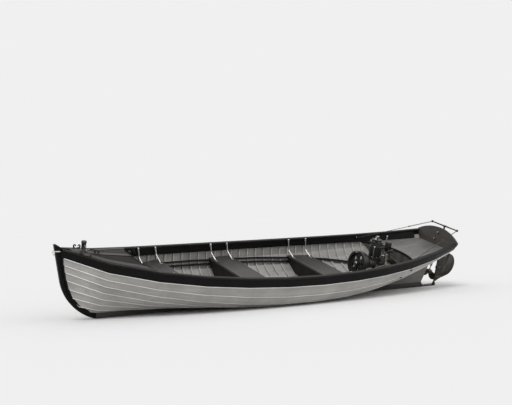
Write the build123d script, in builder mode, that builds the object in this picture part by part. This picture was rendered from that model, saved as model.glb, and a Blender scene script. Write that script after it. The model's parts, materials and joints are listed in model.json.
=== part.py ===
"""An open motor launch of about 1905: clinker built, with an open engine, lying on its keel and port bilge.

The boat is drawn upright in its own axes, x forward from the transom's corners, y to port and z up from the
bottom of the keel, in millimetres. Each finished piece is then laid over with the boat to where it rests.
"""

from build123d import *
from math import atan2, cos, degrees, hypot, radians, sin, tan
import os

# Driving sizes of the hull
KEEL_WIDTH = 44
KEEL_DEPTH = 72
KEEL_FORE_END = 4989
KEEL_HEEL_RUN = 50
PLANK = 9
LAP = 20
TOP_STRAKE = 68
STRAKES = 8
FIT = 0.3
SEAM = 0.5
RAIL_WIDTH = 48
RAIL_DEPTH = 18
RAIL_FORE_X = 5360
RIB_WIDTH = 16
RIB_DEPTH = 12
RIB_PITCH = 125
FIRST_RIB_X = 420
RIB_COUNT = 37
INWALE_DEPTH = 80
INWALE_ENDS = (125, 5200)
INWALE_THICKNESS = 14
TRANSOM_CORNER_Z = 724
TRANSOM_RAKE = 0.2
TRANSOM_THICKNESS = 26
TRANSOM_CROWN_Z = 838
DECK_THICKNESS = 14

# Hull stations: x, half breadth at the rail, rail height, rabbet's height over the keel, floor rise in degrees,
# floor reach, flare of the topside in degrees, topside reach. The first lies in the raked transom.
HULL_TABLE = [
    (0, 372, 724, 358, 20, 170, 33, 120),
    (500, 490, 658, 228, 17, 260, 20, 170),
    (1000, 588, 611, 113, 14, 340, 9, 240),
    (1500, 655, 580, 40, 11, 400, 4, 320),
    (2000, 694, 561, 8, 8, 450, 1, 370),
    (2500, 706, 552, 2, 7, 480, 0, 385),
    (3000, 691, 554, 0, 7, 475, 1, 385),
    (3500, 647, 566, 0, 10, 420, 3, 370),
    (4000, 569, 589, 0, 16, 340, 6, 350),
    (4500, 445, 629, 0, 27, 240, 9, 330),
    (5000, 263, 696, 4, 50, 140, 12, 330),
]
STATIONS = [(x, half, rail, KEEL_DEPTH + rabbet, *shape) for x, half, rail, rabbet, *shape in HULL_TABLE]
# Where the planks land on the stem, from the garboard's lower edge up to the rail: x, height
STEM_LANDINGS = [
    (5087, 90),
    (5229, 190),
    (5305, 290),
    (5350, 388),
    (5382, 486),
    (5405, 575),
    (5422, 653),
    (5437, 729),
    (5446, 781),
]
STEM_RAIL_Z = 800
STEM_HEAD_Z = 838
STEM_HEAD_X = 5518
STEM_HEAD_THICKNESS = 26
STEM_FOOT = (5421, 446)
STEM_INNER_DEPTH = 45
RAIL_BREADTH_AT_STEM = 30

# Backbone aft
STERNPOST_FOOT_X = 193
STERNPOST_RAKE = 0.356
STERNPOST_WIDTH = 70
DEADWOOD_FORE_END = 2000
HOG_RISE = 22
HOG_FORE_GAP = 80
SHOE_THICKNESS = 17
SHOE_WIDTH = 40
SHOE_FORE_END = 450

# Engine line, propeller and rudder
SHAFT_RADIUS = 12.5
SHAFT_RUN = 0.05
SHAFT_PROPELLER = (52, 218)
SHAFT_FLYWHEEL = (1390, 405)
PROPELLER_RADIUS = 150
HUB_RADIUS = 27
HUB_LENGTH = 76
BLADE_THICKNESS = 9
BLADE_PITCH = 35
FLYWHEEL_RADIUS = 160
FLYWHEEL_WIDTH = 80
FLYWHEEL_RIM = 30
FLYWHEEL_WEB = 26
FLYWHEEL_HUB = 38
FLYWHEEL_HOLES = 5
FLYWHEEL_HOLE_RADIUS = 26
BEARER_Y = 118
BEARER_WIDTH = 38
BEARER_AFT_X = 960
BEARER_FORE_X = 1320
CRANKCASE_AFT_X = 1000
CRANKCASE_LENGTH = 270
CRANKCASE_RADIUS = 92
CYLINDER_X = 1130
CYLINDER_RADIUS = 76
CYLINDER_HEIGHT = 215
BULKHEAD_FOOT_Z = 352
BULKHEAD_THICKNESS = 14
KNEE_RADIUS = 7
KNEE_END_INSET = 34
KNEE_FOOT_FORWARD = 12
KNEE_HEAD_FORWARD = 35
KNEE_REACH = 118
KNEE_DIP = 20
KNEE_RISE = 62
KNEE_BEND = 34
HEAD_RADIUS = 62
HEAD_HEIGHT = 28
CUP_RADIUS = 11
CUP_HEIGHT = 36
CARBURETTOR = (1040, 128, 520)
CARBURETTOR_RADIUS = 28
CARBURETTOR_HEIGHT = 84
PUMP_Y = -58
PUMP_RADIUS = 24
PUMP_LENGTH = 96
OUTLETS = [(1000, 6), (1126, 5)]
OUTLET_RADIUS = 18
OUTLET_HEIGHT = 12
EXHAUST_RADIUS = 16
EXHAUST_BEND = 40
EXHAUST_Z = 600
EXHAUST_TURNS = [(912, 0, 600), (900, 70, 470), (950, 330, 455)]
EXHAUST_END = (1000, 491)
BITT_X = 5195
BITT_RADIUS = 25
BITT_HEIGHT = 108
CHOCK_X = 5215
CHOCK_LENGTH = 90
CLEAT_X = 5045
CLEAT_LENGTH = 150
RING_Z = 765
RING_RADIUS = 24
RING_WIRE = 4.5
HELM_X = 4598
HELM_Y = -45
HELM_Z = 698
HELM_RADIUS = 50
HELM_HANDLE = 14
HELM_SPOKES = 6
HELM_PIN_RADIUS = 8
HELM_PIN_TAIL = 6
HELM_PLATE_OFF = 40
HELM_PLATE = (40, 104)
HELM_PLATE_DROP = 38
FAIRLEAD_X = 1000
FAIRLEAD_DROP = 36
LINE_RADIUS = 4
STOCK_X = -88
STOCK_RADIUS = 12
STOCK_TOP_Z = 852
RUDDER_THICKNESS = 22
YOKE_Z = 862
YOKE_HALF_SPAN = 232
YOKE_THICKNESS = 16
RUDDER_LIMIT = 35

# Fitting out: each thwart by its aft edge, fore edge and top
THWARTS = [(4029, 4345, 438), (2960, 3276, 383), (1741, 2072, 346)]
THWART_THICKNESS = 22
RISER_ENDS = (900, 4560)
RISER_DEPTH = 16
RISER_THICKNESS = 16
LOWER_STRINGER_ENDS = (1650, 4300)
LOWER_STRINGER_DROP = 42
LOWER_STRINGER_DEPTH = 16
FLOOR_BEARER_BAYS = (12, 15, 18, 21, 24, 28)
FLOOR_BEARER_THICKNESS = 22
FLOOR_RISE = 94
FLOOR_TOP_Z = KEEL_DEPTH + FLOOR_RISE
FLOOR_THICKNESS = 16
FLOOR_AFT_X = 1780
FLOOR_FORE_X = 4400
FLOORBOARDS_A_SIDE = 3
FLOORBOARD_WIDTH = 104
FLOORBOARD_PITCH = 112
PANEL_THICKNESS = 14
FOREDECK_AFT_X = 4517
FOREDECK_HOLLOW = 138
FOREDECK_CROWN = 34
FOREDECK_EDGE_INSET = 12
DECK_SHARES = (-1, -0.66, -0.33, 0, 0.33, 0.66, 1)
BEAM_DEPTH = 44
BEAM_THICKNESS = 20
BEAM_SETBACK = 2
FOREDECK_FORE_X = 5345
AFTERDECK_DROP = 104
AFTERDECK_AFT_X = 62
AFTERDECK_EDGE = [(1000, 620), (708, 0), (1000, -620)]

TRANSOM_COS = cos(atan2(TRANSOM_RAKE, 1))
RAIL_DROP = RAIL_DEPTH + 2 * FIT
HALF_KEEL = KEEL_WIDTH / 2
RABBET_Y = HALF_KEEL + FIT


def between(table, x):
    """The value at x on a line drawn through pairs of x and value."""
    for (x0, v0), (x1, v1) in zip(table, table[1:]):
        if x <= x1:
            return v0 + (v1 - v0) * (x - x0) / (x1 - x0)
    return table[-1][1]


def transom_x(z):
    """The raked aft face of the transom at height z."""
    return (TRANSOM_CORNER_Z - z) * TRANSOM_RAKE


def seam_points(breadth, rail_z, rabbet_z, rise, reach, flare, side_reach):
    """The seams of one section, from the rabbet up to the sheer, as pairs of y and z."""
    top = (breadth - PLANK - FIT, rail_z - RAIL_DROP)
    low = (RABBET_Y, rabbet_z)
    low_handle = (low[0] + reach * cos(radians(rise)), low[1] + reach * sin(radians(rise)))
    top_handle = (top[0] - side_reach * tan(radians(flare)), top[1] - side_reach)
    steps = 120
    curve = []
    for step in range(steps + 1):
        t = step / steps
        weights = ((1 - t) ** 3, 3 * t * (1 - t) ** 2, 3 * t * t * (1 - t), t**3)
        corners = (low, low_handle, top_handle, top)
        curve.append(tuple(sum(w * c[axis] for w, c in zip(weights, corners)) for axis in (0, 1)))
    lengths = [0]
    for a, b in zip(curve, curve[1:]):
        lengths.append(lengths[-1] + hypot(b[0] - a[0], b[1] - a[1]))
    girths = [k * (lengths[-1] - TOP_STRAKE) / (STRAKES - 1) for k in range(STRAKES)] + [lengths[-1]]
    seams = []
    for girth in girths:
        y = between([(s, c[0]) for s, c in zip(lengths, curve)], girth)
        z = between([(s, c[1]) for s, c in zip(lengths, curve)], girth)
        seams.append((y, z))
    return seams


def hull_sections():
    """Every station's seam points in space, aft to fore, the last on the stem."""
    sections = []
    for index, (x, *shape) in enumerate(STATIONS):
        seams = seam_points(*shape)
        sections.append([(transom_x(z) if index == 0 else x, y, z) for y, z in seams])
    sections.append([(x, RABBET_Y, z) for x, z in STEM_LANDINGS])
    return sections


SECTIONS = hull_sections()


def hull_at(x):
    """The seam points of the section at x, as pairs of y and z."""
    points = []
    for seam in range(STRAKES + 1):
        line = [section[seam] for section in SECTIONS]
        at = min(max(x, line[0][0]), line[-1][0])
        points.append(tuple(between([(p[0], p[axis]) for p in line], at) for axis in (1, 2)))
    return points


def outward(a, b):
    """The unit vector that points out of the hull from the line a to b."""
    length = hypot(b[0] - a[0], b[1] - a[1])
    return (b[1] - a[1]) / length, -(b[0] - a[0]) / length


def shifted(points, distance):
    """A section's line moved out of the hull by a distance, with its corners mitred."""
    normals = [outward(a, b) for a, b in zip(points, points[1:])]
    normals = [normals[0]] + normals + [normals[-1]]
    moved = []
    for point, before, after in zip(points, normals, normals[1:]):
        scale = distance / (1 + before[0] * after[0] + before[1] * after[1])
        moved.append((point[0] + scale * (before[0] + after[0]), point[1] + scale * (before[1] + after[1])))
    return moved


def inner_y(x, z, inset):
    """How far out from the centre line the hull's inside lies at x and z, less an inset square to the planks."""
    points = hull_at(x)
    reaches = []
    for a, b in zip(points, points[1:]):
        ny, nz = outward(a, b)
        a = (a[0] - ny * inset, a[1] - nz * inset)
        b = (b[0] - ny * inset, b[1] - nz * inset)
        if a[1] <= z <= b[1]:
            reaches.append(a[0] + (b[0] - a[0]) * (z - a[1]) / (b[1] - a[1]))
    return min(reaches)


def inner_z(x, y, inset):
    """How high the hull's inside lies at x and y, with an inset square to the planks."""
    line = shifted(hull_at(x), -inset)
    for a, b in zip(line, line[1:]):
        if a[0] <= y <= b[0]:
            return a[1] + (b[1] - a[1]) * (y - a[0]) / (b[0] - a[0])
    return line[-1][1]


def lining(x, inset):
    """The line at an inset inside the planks, trimmed at the keel's side and under the rail."""
    line = shifted(hull_at(x), -inset)
    (y0, z0), (y1, z1) = line[0], line[1]
    y_foot = RABBET_Y + 1
    line[0] = (y_foot, z0 + (z1 - z0) * (y_foot - y0) / (y1 - y0))
    (y0, z0), (y1, z1) = line[-2], line[-1]
    z_head = rail_at(x)[1] - RAIL_DROP - 1
    line[-1] = (y0 + (y1 - y0) * (z_head - z0) / (z1 - z0), z_head)
    return line


def rail_at(x):
    """The rail's outer half breadth and its top at x."""
    breadth = [(row[0], row[1]) for row in STATIONS] + [(STEM_LANDINGS[-1][0], RAIL_BREADTH_AT_STEM)]
    height = [(row[0], row[2]) for row in STATIONS] + [(STEM_LANDINGS[-1][0], STEM_RAIL_Z)]
    return between(breadth, x), between(height, x)


def deck_top(x, side):
    """The foredeck's top at x, and at a share of its half breadth from the centre line."""
    y, z = rail_at(x)
    crown = FOREDECK_CROWN * min(1, 1.3 * (y - RAIL_WIDTH) / rail_at(FOREDECK_AFT_X)[0])
    return z + crown * (1 - side * side)


def stations_from(x_start, x_end):
    """The x of both ends and of each station between them."""
    inside = [row[0] for row in STATIONS if x_start + 1 < row[0] < x_end - 1]
    return [x_start] + inside + [x_end]


def outline(points):
    """A flat face through points in space."""
    return Face(Wire.make_polygon([Vector(*point) for point in points], close=True))


def shaft_z(x):
    """The height of the shaft's middle at x."""
    (x0, z0), (x1, z1) = SHAFT_PROPELLER, SHAFT_FLYWHEEL
    return z0 + (z1 - z0) * (x - x0) / (x1 - x0)


def shaft_plane(x):
    """A plane square to the shaft, its normal pointing forward, at x along the shaft."""
    (x0, z0), (x1, z1) = SHAFT_PROPELLER, SHAFT_FLYWHEEL
    return Plane(origin=(x, 0, shaft_z(x)), x_dir=(0, 1, 0), z_dir=(x1 - x0, 0, z1 - z0))


def strake_profile(section_index, k):
    """The outline of strake k at a station: a plank whose foot laps over the strake below it."""
    section = SECTIONS[section_index]
    seams = [(y, z) for _, y, z in section]
    low, high = seams[k], seams[k + 1]
    normal = outward(low, high)
    top_inner = high
    top_outer = (high[0] + PLANK * normal[0], high[1] + PLANK * normal[1])
    if k == 0:
        foot = [low, (low[0] + PLANK * normal[0], low[1] + PLANK * normal[1])]
        profile = [top_inner, foot[0], foot[1], top_outer]
    else:
        below = seams[k - 1]
        under = outward(below, low)
        length = hypot(low[0] - below[0], low[1] - below[1])
        along = ((low[0] - below[0]) / length, (low[1] - below[1]) / length)
        rise = PLANK + SEAM
        foot_rise = rise + (rise * LAP / length if k > 1 else 0)
        bend = rise / (1 + normal[0] * under[0] + normal[1] * under[1])
        knee = (low[0] + bend * (normal[0] + under[0]), low[1] + bend * (normal[1] + under[1]))
        grow = (rise + PLANK) / rise
        knee_out = (low[0] + (knee[0] - low[0]) * grow, low[1] + (knee[1] - low[1]) * grow)
        foot = (low[0] - LAP * along[0] + foot_rise * under[0], low[1] - LAP * along[1] + foot_rise * under[1])
        foot_out = (foot[0] + PLANK * under[0], foot[1] + PLANK * under[1])
        profile = [top_inner, knee, foot, foot_out, knee_out, top_outer]
    x_low, x_high = section[k][0], section[k + 1][0]
    slope = (x_high - x_low) / (high[1] - low[1])
    return [(x_low + (z - low[1]) * slope, y, z) for y, z in profile]


def lowest_lean():
    """The angle at which the upright boat's port bilge and keel corner would meet one floor, in degrees."""
    angles = []
    for index in range(len(SECTIONS)):
        for k in range(STRAKES):
            for _, y, z in strake_profile(index, k):
                if y > 4 * HALF_KEEL:
                    angles.append(degrees(atan2(z, y - HALF_KEEL)))
    return min(angles)


HEEL = lowest_lean()
LAID_OVER = Location((0, 0, 0), (-HEEL, 0, 0)) * Location((0, -HALF_KEEL, 0))
PIECES = {}


def keep(builder, name):
    """Lays a piece over with the boat and keeps it under its name."""
    builder.part = Part(builder.part.moved(LAID_OVER).wrapped)
    PIECES[name] = builder


# Planking
strake_names = ["garboard"] + [f"strake_{k + 1}" for k in range(1, STRAKES - 1)] + ["sheer_strake"]
for k, strake_name in enumerate(strake_names):
    with BuildPart() as strake:
        loft([outline(strake_profile(index, k)) for index in range(len(SECTIONS))], ruled=True)
        mirror(about=Plane.XZ)
    keep(strake, strake_name)

# Rails, on top of the sheer strakes
with BuildPart() as rail:
    rail_aft = transom_x(TRANSOM_CORNER_Z - 2 * RAIL_DEPTH) + TRANSOM_THICKNESS / TRANSOM_COS + FIT
    faces = []
    for x in stations_from(rail_aft, RAIL_FORE_X) + [STEM_LANDINGS[-1][0] - 10]:
        y, z = rail_at(x)
        inner = max(y - RAIL_WIDTH, HALF_KEEL + FIT)
        faces.append(outline([(x, inner, z - RAIL_DEPTH), (x, y, z - RAIL_DEPTH), (x, y, z), (x, inner, z)]))
    loft(faces, ruled=True)
    mirror(about=Plane.XZ)
keep(rail, "rails")

# Keel, with its heel let in for the metal shoe
with BuildPart() as keel:
    with BuildSketch(Plane.XZ.offset(-HALF_KEEL)):
        with BuildLine():
            Polyline(
                (STERNPOST_FOOT_X, KEEL_DEPTH),
                (STERNPOST_FOOT_X - KEEL_HEEL_RUN, SHOE_THICKNESS + FIT),
                (SHOE_FORE_END + FIT, SHOE_THICKNESS + FIT),
                (SHOE_FORE_END + FIT, 0),
                (KEEL_FORE_END, 0),
                (KEEL_FORE_END, KEEL_DEPTH),
                close=True,
            )
        make_face()
    extrude(amount=KEEL_WIDTH)
keep(keel, "keel")

# Hog, standing on the keel between the garboards
with BuildPart() as hog:
    with BuildSketch(Plane.XZ.offset(-HALF_KEEL)):
        with BuildLine():
            tops = [(row[0], row[3] + HOG_RISE) for row in STATIONS if row[0] > DEADWOOD_FORE_END]
            tops = [(DEADWOOD_FORE_END + FIT, STATIONS[4][3] + HOG_RISE)] + tops
            tops[-1] = (KEEL_FORE_END - HOG_FORE_GAP, tops[-1][1])
            Polyline((tops[0][0], KEEL_DEPTH), *tops, (tops[-1][0], KEEL_DEPTH), close=True)
        make_face()
    extrude(amount=KEEL_WIDTH)
keep(hog, "hog")

# Stem, with a rounded forefoot
with BuildPart() as stem:
    with BuildSketch(Plane.XZ.offset(-HALF_KEEL)):
        with BuildLine():
            lean = (STEM_HEAD_X - STEM_FOOT[0]) / (STEM_HEAD_Z - STEM_FOOT[1])
            head_inner = (STEM_LANDINGS[-1][0] - 8, STEM_RAIL_Z + 4)
            peak = (STEM_HEAD_X - STEM_HEAD_THICKNESS, STEM_HEAD_Z)
            front = Line((STEM_HEAD_X, STEM_HEAD_Z), STEM_FOOT)
            fore_arc = TangentArc(STEM_FOOT, (KEEL_FORE_END + FIT, 0), tangent=(-lean, -1))
            inner_foot = (KEEL_FORE_END + FIT, KEEL_DEPTH + HOG_RISE)
            inner = [(x - STEM_INNER_DEPTH, z + STEM_INNER_DEPTH) for x, z in STEM_LANDINGS[1:-1]]
            Polyline((KEEL_FORE_END + FIT, 0), inner_foot, *inner, head_inner, peak, (STEM_HEAD_X, STEM_HEAD_Z))
        make_face()
    extrude(amount=KEEL_WIDTH)
keep(stem, "stem")


def post_x(z):
    """The raked aft edge of the sternpost at height z."""
    return STERNPOST_FOOT_X - (z - KEEL_DEPTH) * STERNPOST_RAKE


TRANSOM_FOOT_Z = STATIONS[0][3]
POST_TOP_Z = TRANSOM_FOOT_Z - FIT
BORE_RADIUS = SHAFT_RADIUS + 3.5

# Sternpost and deadwood, bored for the shaft
with BuildPart() as sternpost:
    with BuildSketch(Plane.XZ.offset(-HALF_KEEL)):
        with BuildLine():
            Polyline(
                (post_x(KEEL_DEPTH), KEEL_DEPTH),
                (post_x(KEEL_DEPTH) + STERNPOST_WIDTH, KEEL_DEPTH),
                (post_x(POST_TOP_Z) + STERNPOST_WIDTH, POST_TOP_Z),
                (post_x(POST_TOP_Z), POST_TOP_Z),
                close=True,
            )
        make_face()
    extrude(amount=KEEL_WIDTH)
    with BuildSketch(shaft_plane(-100)):
        Circle(BORE_RADIUS)
    extrude(amount=800, mode=Mode.SUBTRACT)
keep(sternpost, "sternpost")

with BuildPart() as deadwood:
    with BuildSketch(Plane.XZ.offset(-HALF_KEEL)):
        with BuildLine():
            rabbet = [(max(row[0], transom_x(row[3])), row[3]) for row in STATIONS]
            aft_x = post_x(POST_TOP_Z) + STERNPOST_WIDTH + FIT
            top = [(x, z + HOG_RISE) for x, z in rabbet if aft_x < x <= DEADWOOD_FORE_END]
            Polyline(
                (post_x(KEEL_DEPTH) + STERNPOST_WIDTH + FIT, KEEL_DEPTH),
                (DEADWOOD_FORE_END, KEEL_DEPTH),
                *reversed(top),
                (aft_x, between(rabbet, aft_x) + HOG_RISE),
                close=True,
            )
        make_face()
    extrude(amount=KEEL_WIDTH)
    with BuildSketch(shaft_plane(-100)):
        Circle(BORE_RADIUS)
    extrude(amount=1400, mode=Mode.SUBTRACT)
keep(deadwood, "deadwood")

# Metal shoe under the propeller, with the socket for the rudder's heel
with BuildPart() as shoe:
    with BuildSketch(Plane.XY):
        with BuildLine():
            Polyline(
                (SHOE_FORE_END, -SHOE_WIDTH / 2),
                (SHOE_FORE_END, SHOE_WIDTH / 2),
                (STOCK_X, SHOE_WIDTH / 2),
                (STOCK_X, -SHOE_WIDTH / 2),
                close=True,
            )
        make_face()
    extrude(amount=SHOE_THICKNESS)
    with BuildSketch(Plane.XY):
        with Locations((STOCK_X, 0)):
            Circle(SHOE_WIDTH / 2 + 2)
    extrude(amount=SHOE_THICKNESS + 19)
    with BuildSketch(Plane.XY.offset(10)):
        with Locations((STOCK_X, 0)):
            Circle(STOCK_RADIUS + SHAFT_RUN)
    extrude(amount=60, mode=Mode.SUBTRACT)
keep(shoe, "skeg_shoe")

# Transom board between the planks' ends, crowned above the rails
TRANSOM_PLANE = Plane(origin=(transom_x(0), 0, 0), x_dir=(0, 1, 0), z_dir=(1, 0, TRANSOM_RAKE))
with BuildPart() as transom:
    with BuildSketch(TRANSOM_PLANE):
        with BuildLine():
            edge = shifted([(y, z) for _, y, z in SECTIONS[0]], -FIT)
            edge = [(RABBET_Y, edge[0][1] + FIT)] + edge[1:]
            corner_y, corner_z = STATIONS[0][1], STATIONS[0][2]
            side = edge + [(edge[-1][0], corner_z - RAIL_DROP + FIT), (corner_y, corner_z - RAIL_DROP + FIT)]
            side = side + [(corner_y, corner_z)]
            right = [(y, z / TRANSOM_COS) for y, z in side]
            left = [(-y, z) for y, z in reversed(right)]
            Polyline(*left, *right)
            ThreePointArc(right[-1], (0, TRANSOM_CROWN_Z / TRANSOM_COS), left[0])
        make_face()
    extrude(amount=TRANSOM_THICKNESS)
keep(transom, "transom")

# Bent ribs, a pair at each place, bevelled to the planks
with BuildPart() as ribs:
    for number in range(RIB_COUNT):
        faces = []
        for x in (FIRST_RIB_X + number * RIB_PITCH, FIRST_RIB_X + number * RIB_PITCH + RIB_WIDTH):
            ring = lining(x, FIT) + list(reversed(lining(x, FIT + RIB_DEPTH)))
            faces.append(outline([(x, y, z) for y, z in ring]))
        loft(faces, ruled=True)
    mirror(about=Plane.XZ)
keep(ribs, "ribs")

# Inwales, deep boards inside the rib heads
with BuildPart() as inwales:
    faces = []
    near = 3 * FIT + RIB_DEPTH
    for x in stations_from(*INWALE_ENDS):
        head = rail_at(x)[1] - RAIL_DROP - 1
        foot = head - INWALE_DEPTH
        ring = [(inner_y(x, z, near), z) for z in (head, foot)]
        ring = ring + [(y - INWALE_THICKNESS, z) for y, z in reversed(ring)]
        faces.append(outline([(x, y, z) for y, z in ring]))
    loft(faces, ruled=True)
    mirror(about=Plane.XZ)
keep(inwales, "inwales")


def thwart_line(x):
    """The height of the thwarts' undersides at x, on lines through their fore edges."""
    marks = [(fore, top - THWART_THICKNESS - FIT) for _, fore, top in reversed(THWARTS)]
    slope = (marks[1][1] - marks[0][1]) / (marks[1][0] - marks[0][0])
    rise = (marks[2][1] - marks[1][1]) / (marks[2][0] - marks[1][0])
    aft_x, fore_x = RISER_ENDS
    start = (aft_x, marks[0][1] - slope * (marks[0][0] - aft_x))
    end = (fore_x, marks[2][1] + rise * (fore_x - marks[2][0]))
    return between([start] + marks + [end], x)


def stringer_faces(x_start, x_end, drop, depth):
    """Sections of a stringer that follows the hull's inside below the thwarts' line."""
    faces = []
    marks = stations_from(x_start, x_end) + [fore for _, fore, _ in THWARTS]
    for x in sorted(x for x in marks if x_start <= x <= x_end):
        z = thwart_line(x) - drop
        near = FIT + RIB_DEPTH + 1.2
        far = near + RISER_THICKNESS
        upper, lower = inner_y(x, z, near), inner_y(x, z - depth, near)
        thick = far - near
        faces.append(
            outline([(x, lower, z - depth), (x, upper, z), (x, upper - thick, z), (x, lower - thick, z - depth)])
        )
    return faces


for name, ends, drop, depth in (
    ("risers", RISER_ENDS, 0, RISER_DEPTH),
    ("lower_stringers", LOWER_STRINGER_ENDS, LOWER_STRINGER_DROP, LOWER_STRINGER_DEPTH),
):
    with BuildPart() as stringers:
        loft(stringer_faces(*ends, drop, depth), ruled=True)
        mirror(about=Plane.XZ)
    keep(stringers, name)

# Thwarts
for number, (aft, fore, top) in enumerate(THWARTS, start=1):
    inset = 2 * FIT + RIB_DEPTH + 2
    y_aft = min(inner_y(aft, z, inset) for z in (top, top - THWART_THICKNESS))
    y_fore = min(inner_y(fore, z, inset) for z in (top, top - THWART_THICKNESS))
    with BuildPart() as thwart:
        with BuildSketch(Plane.XY.offset(top - THWART_THICKNESS)):
            with BuildLine():
                Polyline((aft, -y_aft), (fore, -y_fore), (fore, y_fore), (aft, y_aft), close=True)
            make_face()
        extrude(amount=THWART_THICKNESS)
    keep(thwart, f"thwart_{number}")

# Floorboards, each as long as the ribs leave room for
with BuildPart() as floorboards:
    for number in range(FLOORBOARDS_A_SIDE + 1):
        middle = number * FLOORBOARD_PITCH
        edge = middle + FLOORBOARD_WIDTH / 2
        under = FLOOR_TOP_Z - FLOOR_THICKNESS
        free = [
            x
            for x in range(FLOOR_AFT_X, FLOOR_FORE_X + 1, 4)
            if inner_y(x, under, FIT + RIB_DEPTH + FIT) > edge
        ]
        with BuildSketch(Plane.XY.offset(under)):
            for side in (1, -1) if number else (1,):
                with Locations(((free[0] + free[-1]) / 2, side * middle)):
                    Rectangle(free[-1] - free[0], FLOORBOARD_WIDTH)
        extrude(amount=FLOOR_THICKNESS)
keep(floorboards, "floorboards")


def floor_bearer_ring(x, steps):
    """The outline of a floor bearer at x, on the planks and over the hog, cut level under the floorboards."""
    under = FLOOR_TOP_Z - FLOOR_THICKNESS - FIT
    line = lining(x, FIT)
    (y0, z0), (y1, z1) = line[steps], line[steps + 1]
    side = line[: steps + 1] + [(y0 + (y1 - y0) * (under - z0) / (z1 - z0), under)]
    crest = between([(row[0], row[3]) for row in STATIONS], x) + HOG_RISE + FIT
    side = [(line[0][0], crest)] + side
    return [(x, y, z) for y, z in side] + [(x, -y, z) for y, z in reversed(side)]


# Bearers across the boat that carry the floorboards, each half way between two ribs
with BuildPart() as floor_bearers:
    for bay in FLOOR_BEARER_BAYS:
        x = FIRST_RIB_X + bay * RIB_PITCH + (RIB_WIDTH + RIB_PITCH - FLOOR_BEARER_THICKNESS) / 2
        line = lining(x, FIT)
        steps = max(k for k, (_, z) in enumerate(line) if z < FLOOR_TOP_Z - FLOOR_THICKNESS - FIT)
        faces = [outline(floor_bearer_ring(at, steps)) for at in (x, x + FLOOR_BEARER_THICKNESS)]
        loft(faces, ruled=True)
keep(floor_bearers, "floor_bearers")

# Panels under the middle and after thwarts
for name, fore, top in (("panel_middle", THWARTS[1][1], THWARTS[1][2]), ("panel_aft", THWARTS[2][1], THWARTS[2][2])):
    x = fore - PANEL_THICKNESS - 6
    high = top - THWART_THICKNESS - FIT
    riser_foot = thwart_line(x) - RISER_DEPTH - 2
    lower_top = thwart_line(x + PANEL_THICKNESS) - LOWER_STRINGER_DROP + 2
    lower_foot = thwart_line(x) - LOWER_STRINGER_DROP - LOWER_STRINGER_DEPTH - 2
    free = 2 * FIT + RIB_DEPTH + 2
    held = free + RISER_THICKNESS
    levels = [
        (FLOOR_TOP_Z + FIT, free),
        (lower_foot, free),
        (lower_foot, held),
        (lower_top, held),
        (lower_top, free),
        (riser_foot, free),
        (riser_foot, held),
        (high, held),
    ]
    side = [(min(inner_y(x, z, inset), inner_y(x + PANEL_THICKNESS, z, inset)), z) for z, inset in levels]
    ring = [(x, y, z) for y, z in side] + [(x, -y, z) for y, z in reversed(side)]
    with BuildPart() as panel:
        extrude(outline(ring), amount=PANEL_THICKNESS, dir=(1, 0, 0))
    keep(panel, name)


def foredeck_layers(over, under, fore_x):
    """Sections of the foredeck's crowned form from its after edge to fore_x, between two depths below its top."""
    faces = []
    for x in stations_from(FOREDECK_AFT_X, fore_x):
        half = rail_at(x)[0] - RAIL_WIDTH - FIT
        top = [(half * side, deck_top(x, side)) for side in DECK_SHARES]
        ring = [(y, z - over) for y, z in top] + [(y, z - under) for y, z in reversed(top)]
        faces.append(outline([(x, y, z) for y, z in ring]))
    return faces


# The foredeck's hollow after edge is half an ellipse, this wide either side
FOREDECK_EDGE_REACH = rail_at(FOREDECK_AFT_X)[0] - RAIL_WIDTH - FOREDECK_EDGE_INSET

# Foredeck, crowned, between the rails, with a hollow after edge
with BuildPart() as foredeck:
    loft(foredeck_layers(0, DECK_THICKNESS, FOREDECK_FORE_X), ruled=True)
    with BuildSketch(Plane.XY.offset(STEM_FOOT[1])):
        with Locations((FOREDECK_AFT_X, 0)):
            Ellipse(FOREDECK_HOLLOW, FOREDECK_EDGE_REACH)
    extrude(amount=STEM_HEAD_Z, mode=Mode.SUBTRACT)
keep(foredeck, "foredeck")

# Afterdeck, below the rails, with a hollow fore edge
with BuildPart() as afterdeck:
    faces = []
    for x in [AFTERDECK_AFT_X] + [FIRST_RIB_X + number * RIB_PITCH + RIB_WIDTH / 2 for number in range(5)]:
        z = rail_at(x)[1] - AFTERDECK_DROP
        half = min(inner_y(x, z - dz, FIT + RIB_DEPTH + 1) for dz in (0, DECK_THICKNESS))
        ring = [(-half, z), (half, z), (half, z - DECK_THICKNESS), (-half, z - DECK_THICKNESS)]
        faces.append(outline([(x, yy, zz) for yy, zz in ring]))
    loft(faces, ruled=True)
    with BuildSketch(Plane.XY.offset(BULKHEAD_FOOT_Z)):
        with BuildLine():
            edge = ThreePointArc(*AFTERDECK_EDGE)
            Line(edge @ 1, edge @ 0)
        make_face()
    extrude(amount=STEM_HEAD_Z, mode=Mode.SUBTRACT)
keep(afterdeck, "afterdeck")

# Shaft, propeller and flywheel turn together
with BuildPart() as shaft:
    with BuildSketch(shaft_plane(SHAFT_PROPELLER[0] - 60)):
        Circle(SHAFT_RADIUS)
    extrude(amount=hypot(SHAFT_FLYWHEEL[0] - SHAFT_PROPELLER[0] + 130, SHAFT_FLYWHEEL[1] - SHAFT_PROPELLER[1]))
keep(shaft, "shaft")

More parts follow.
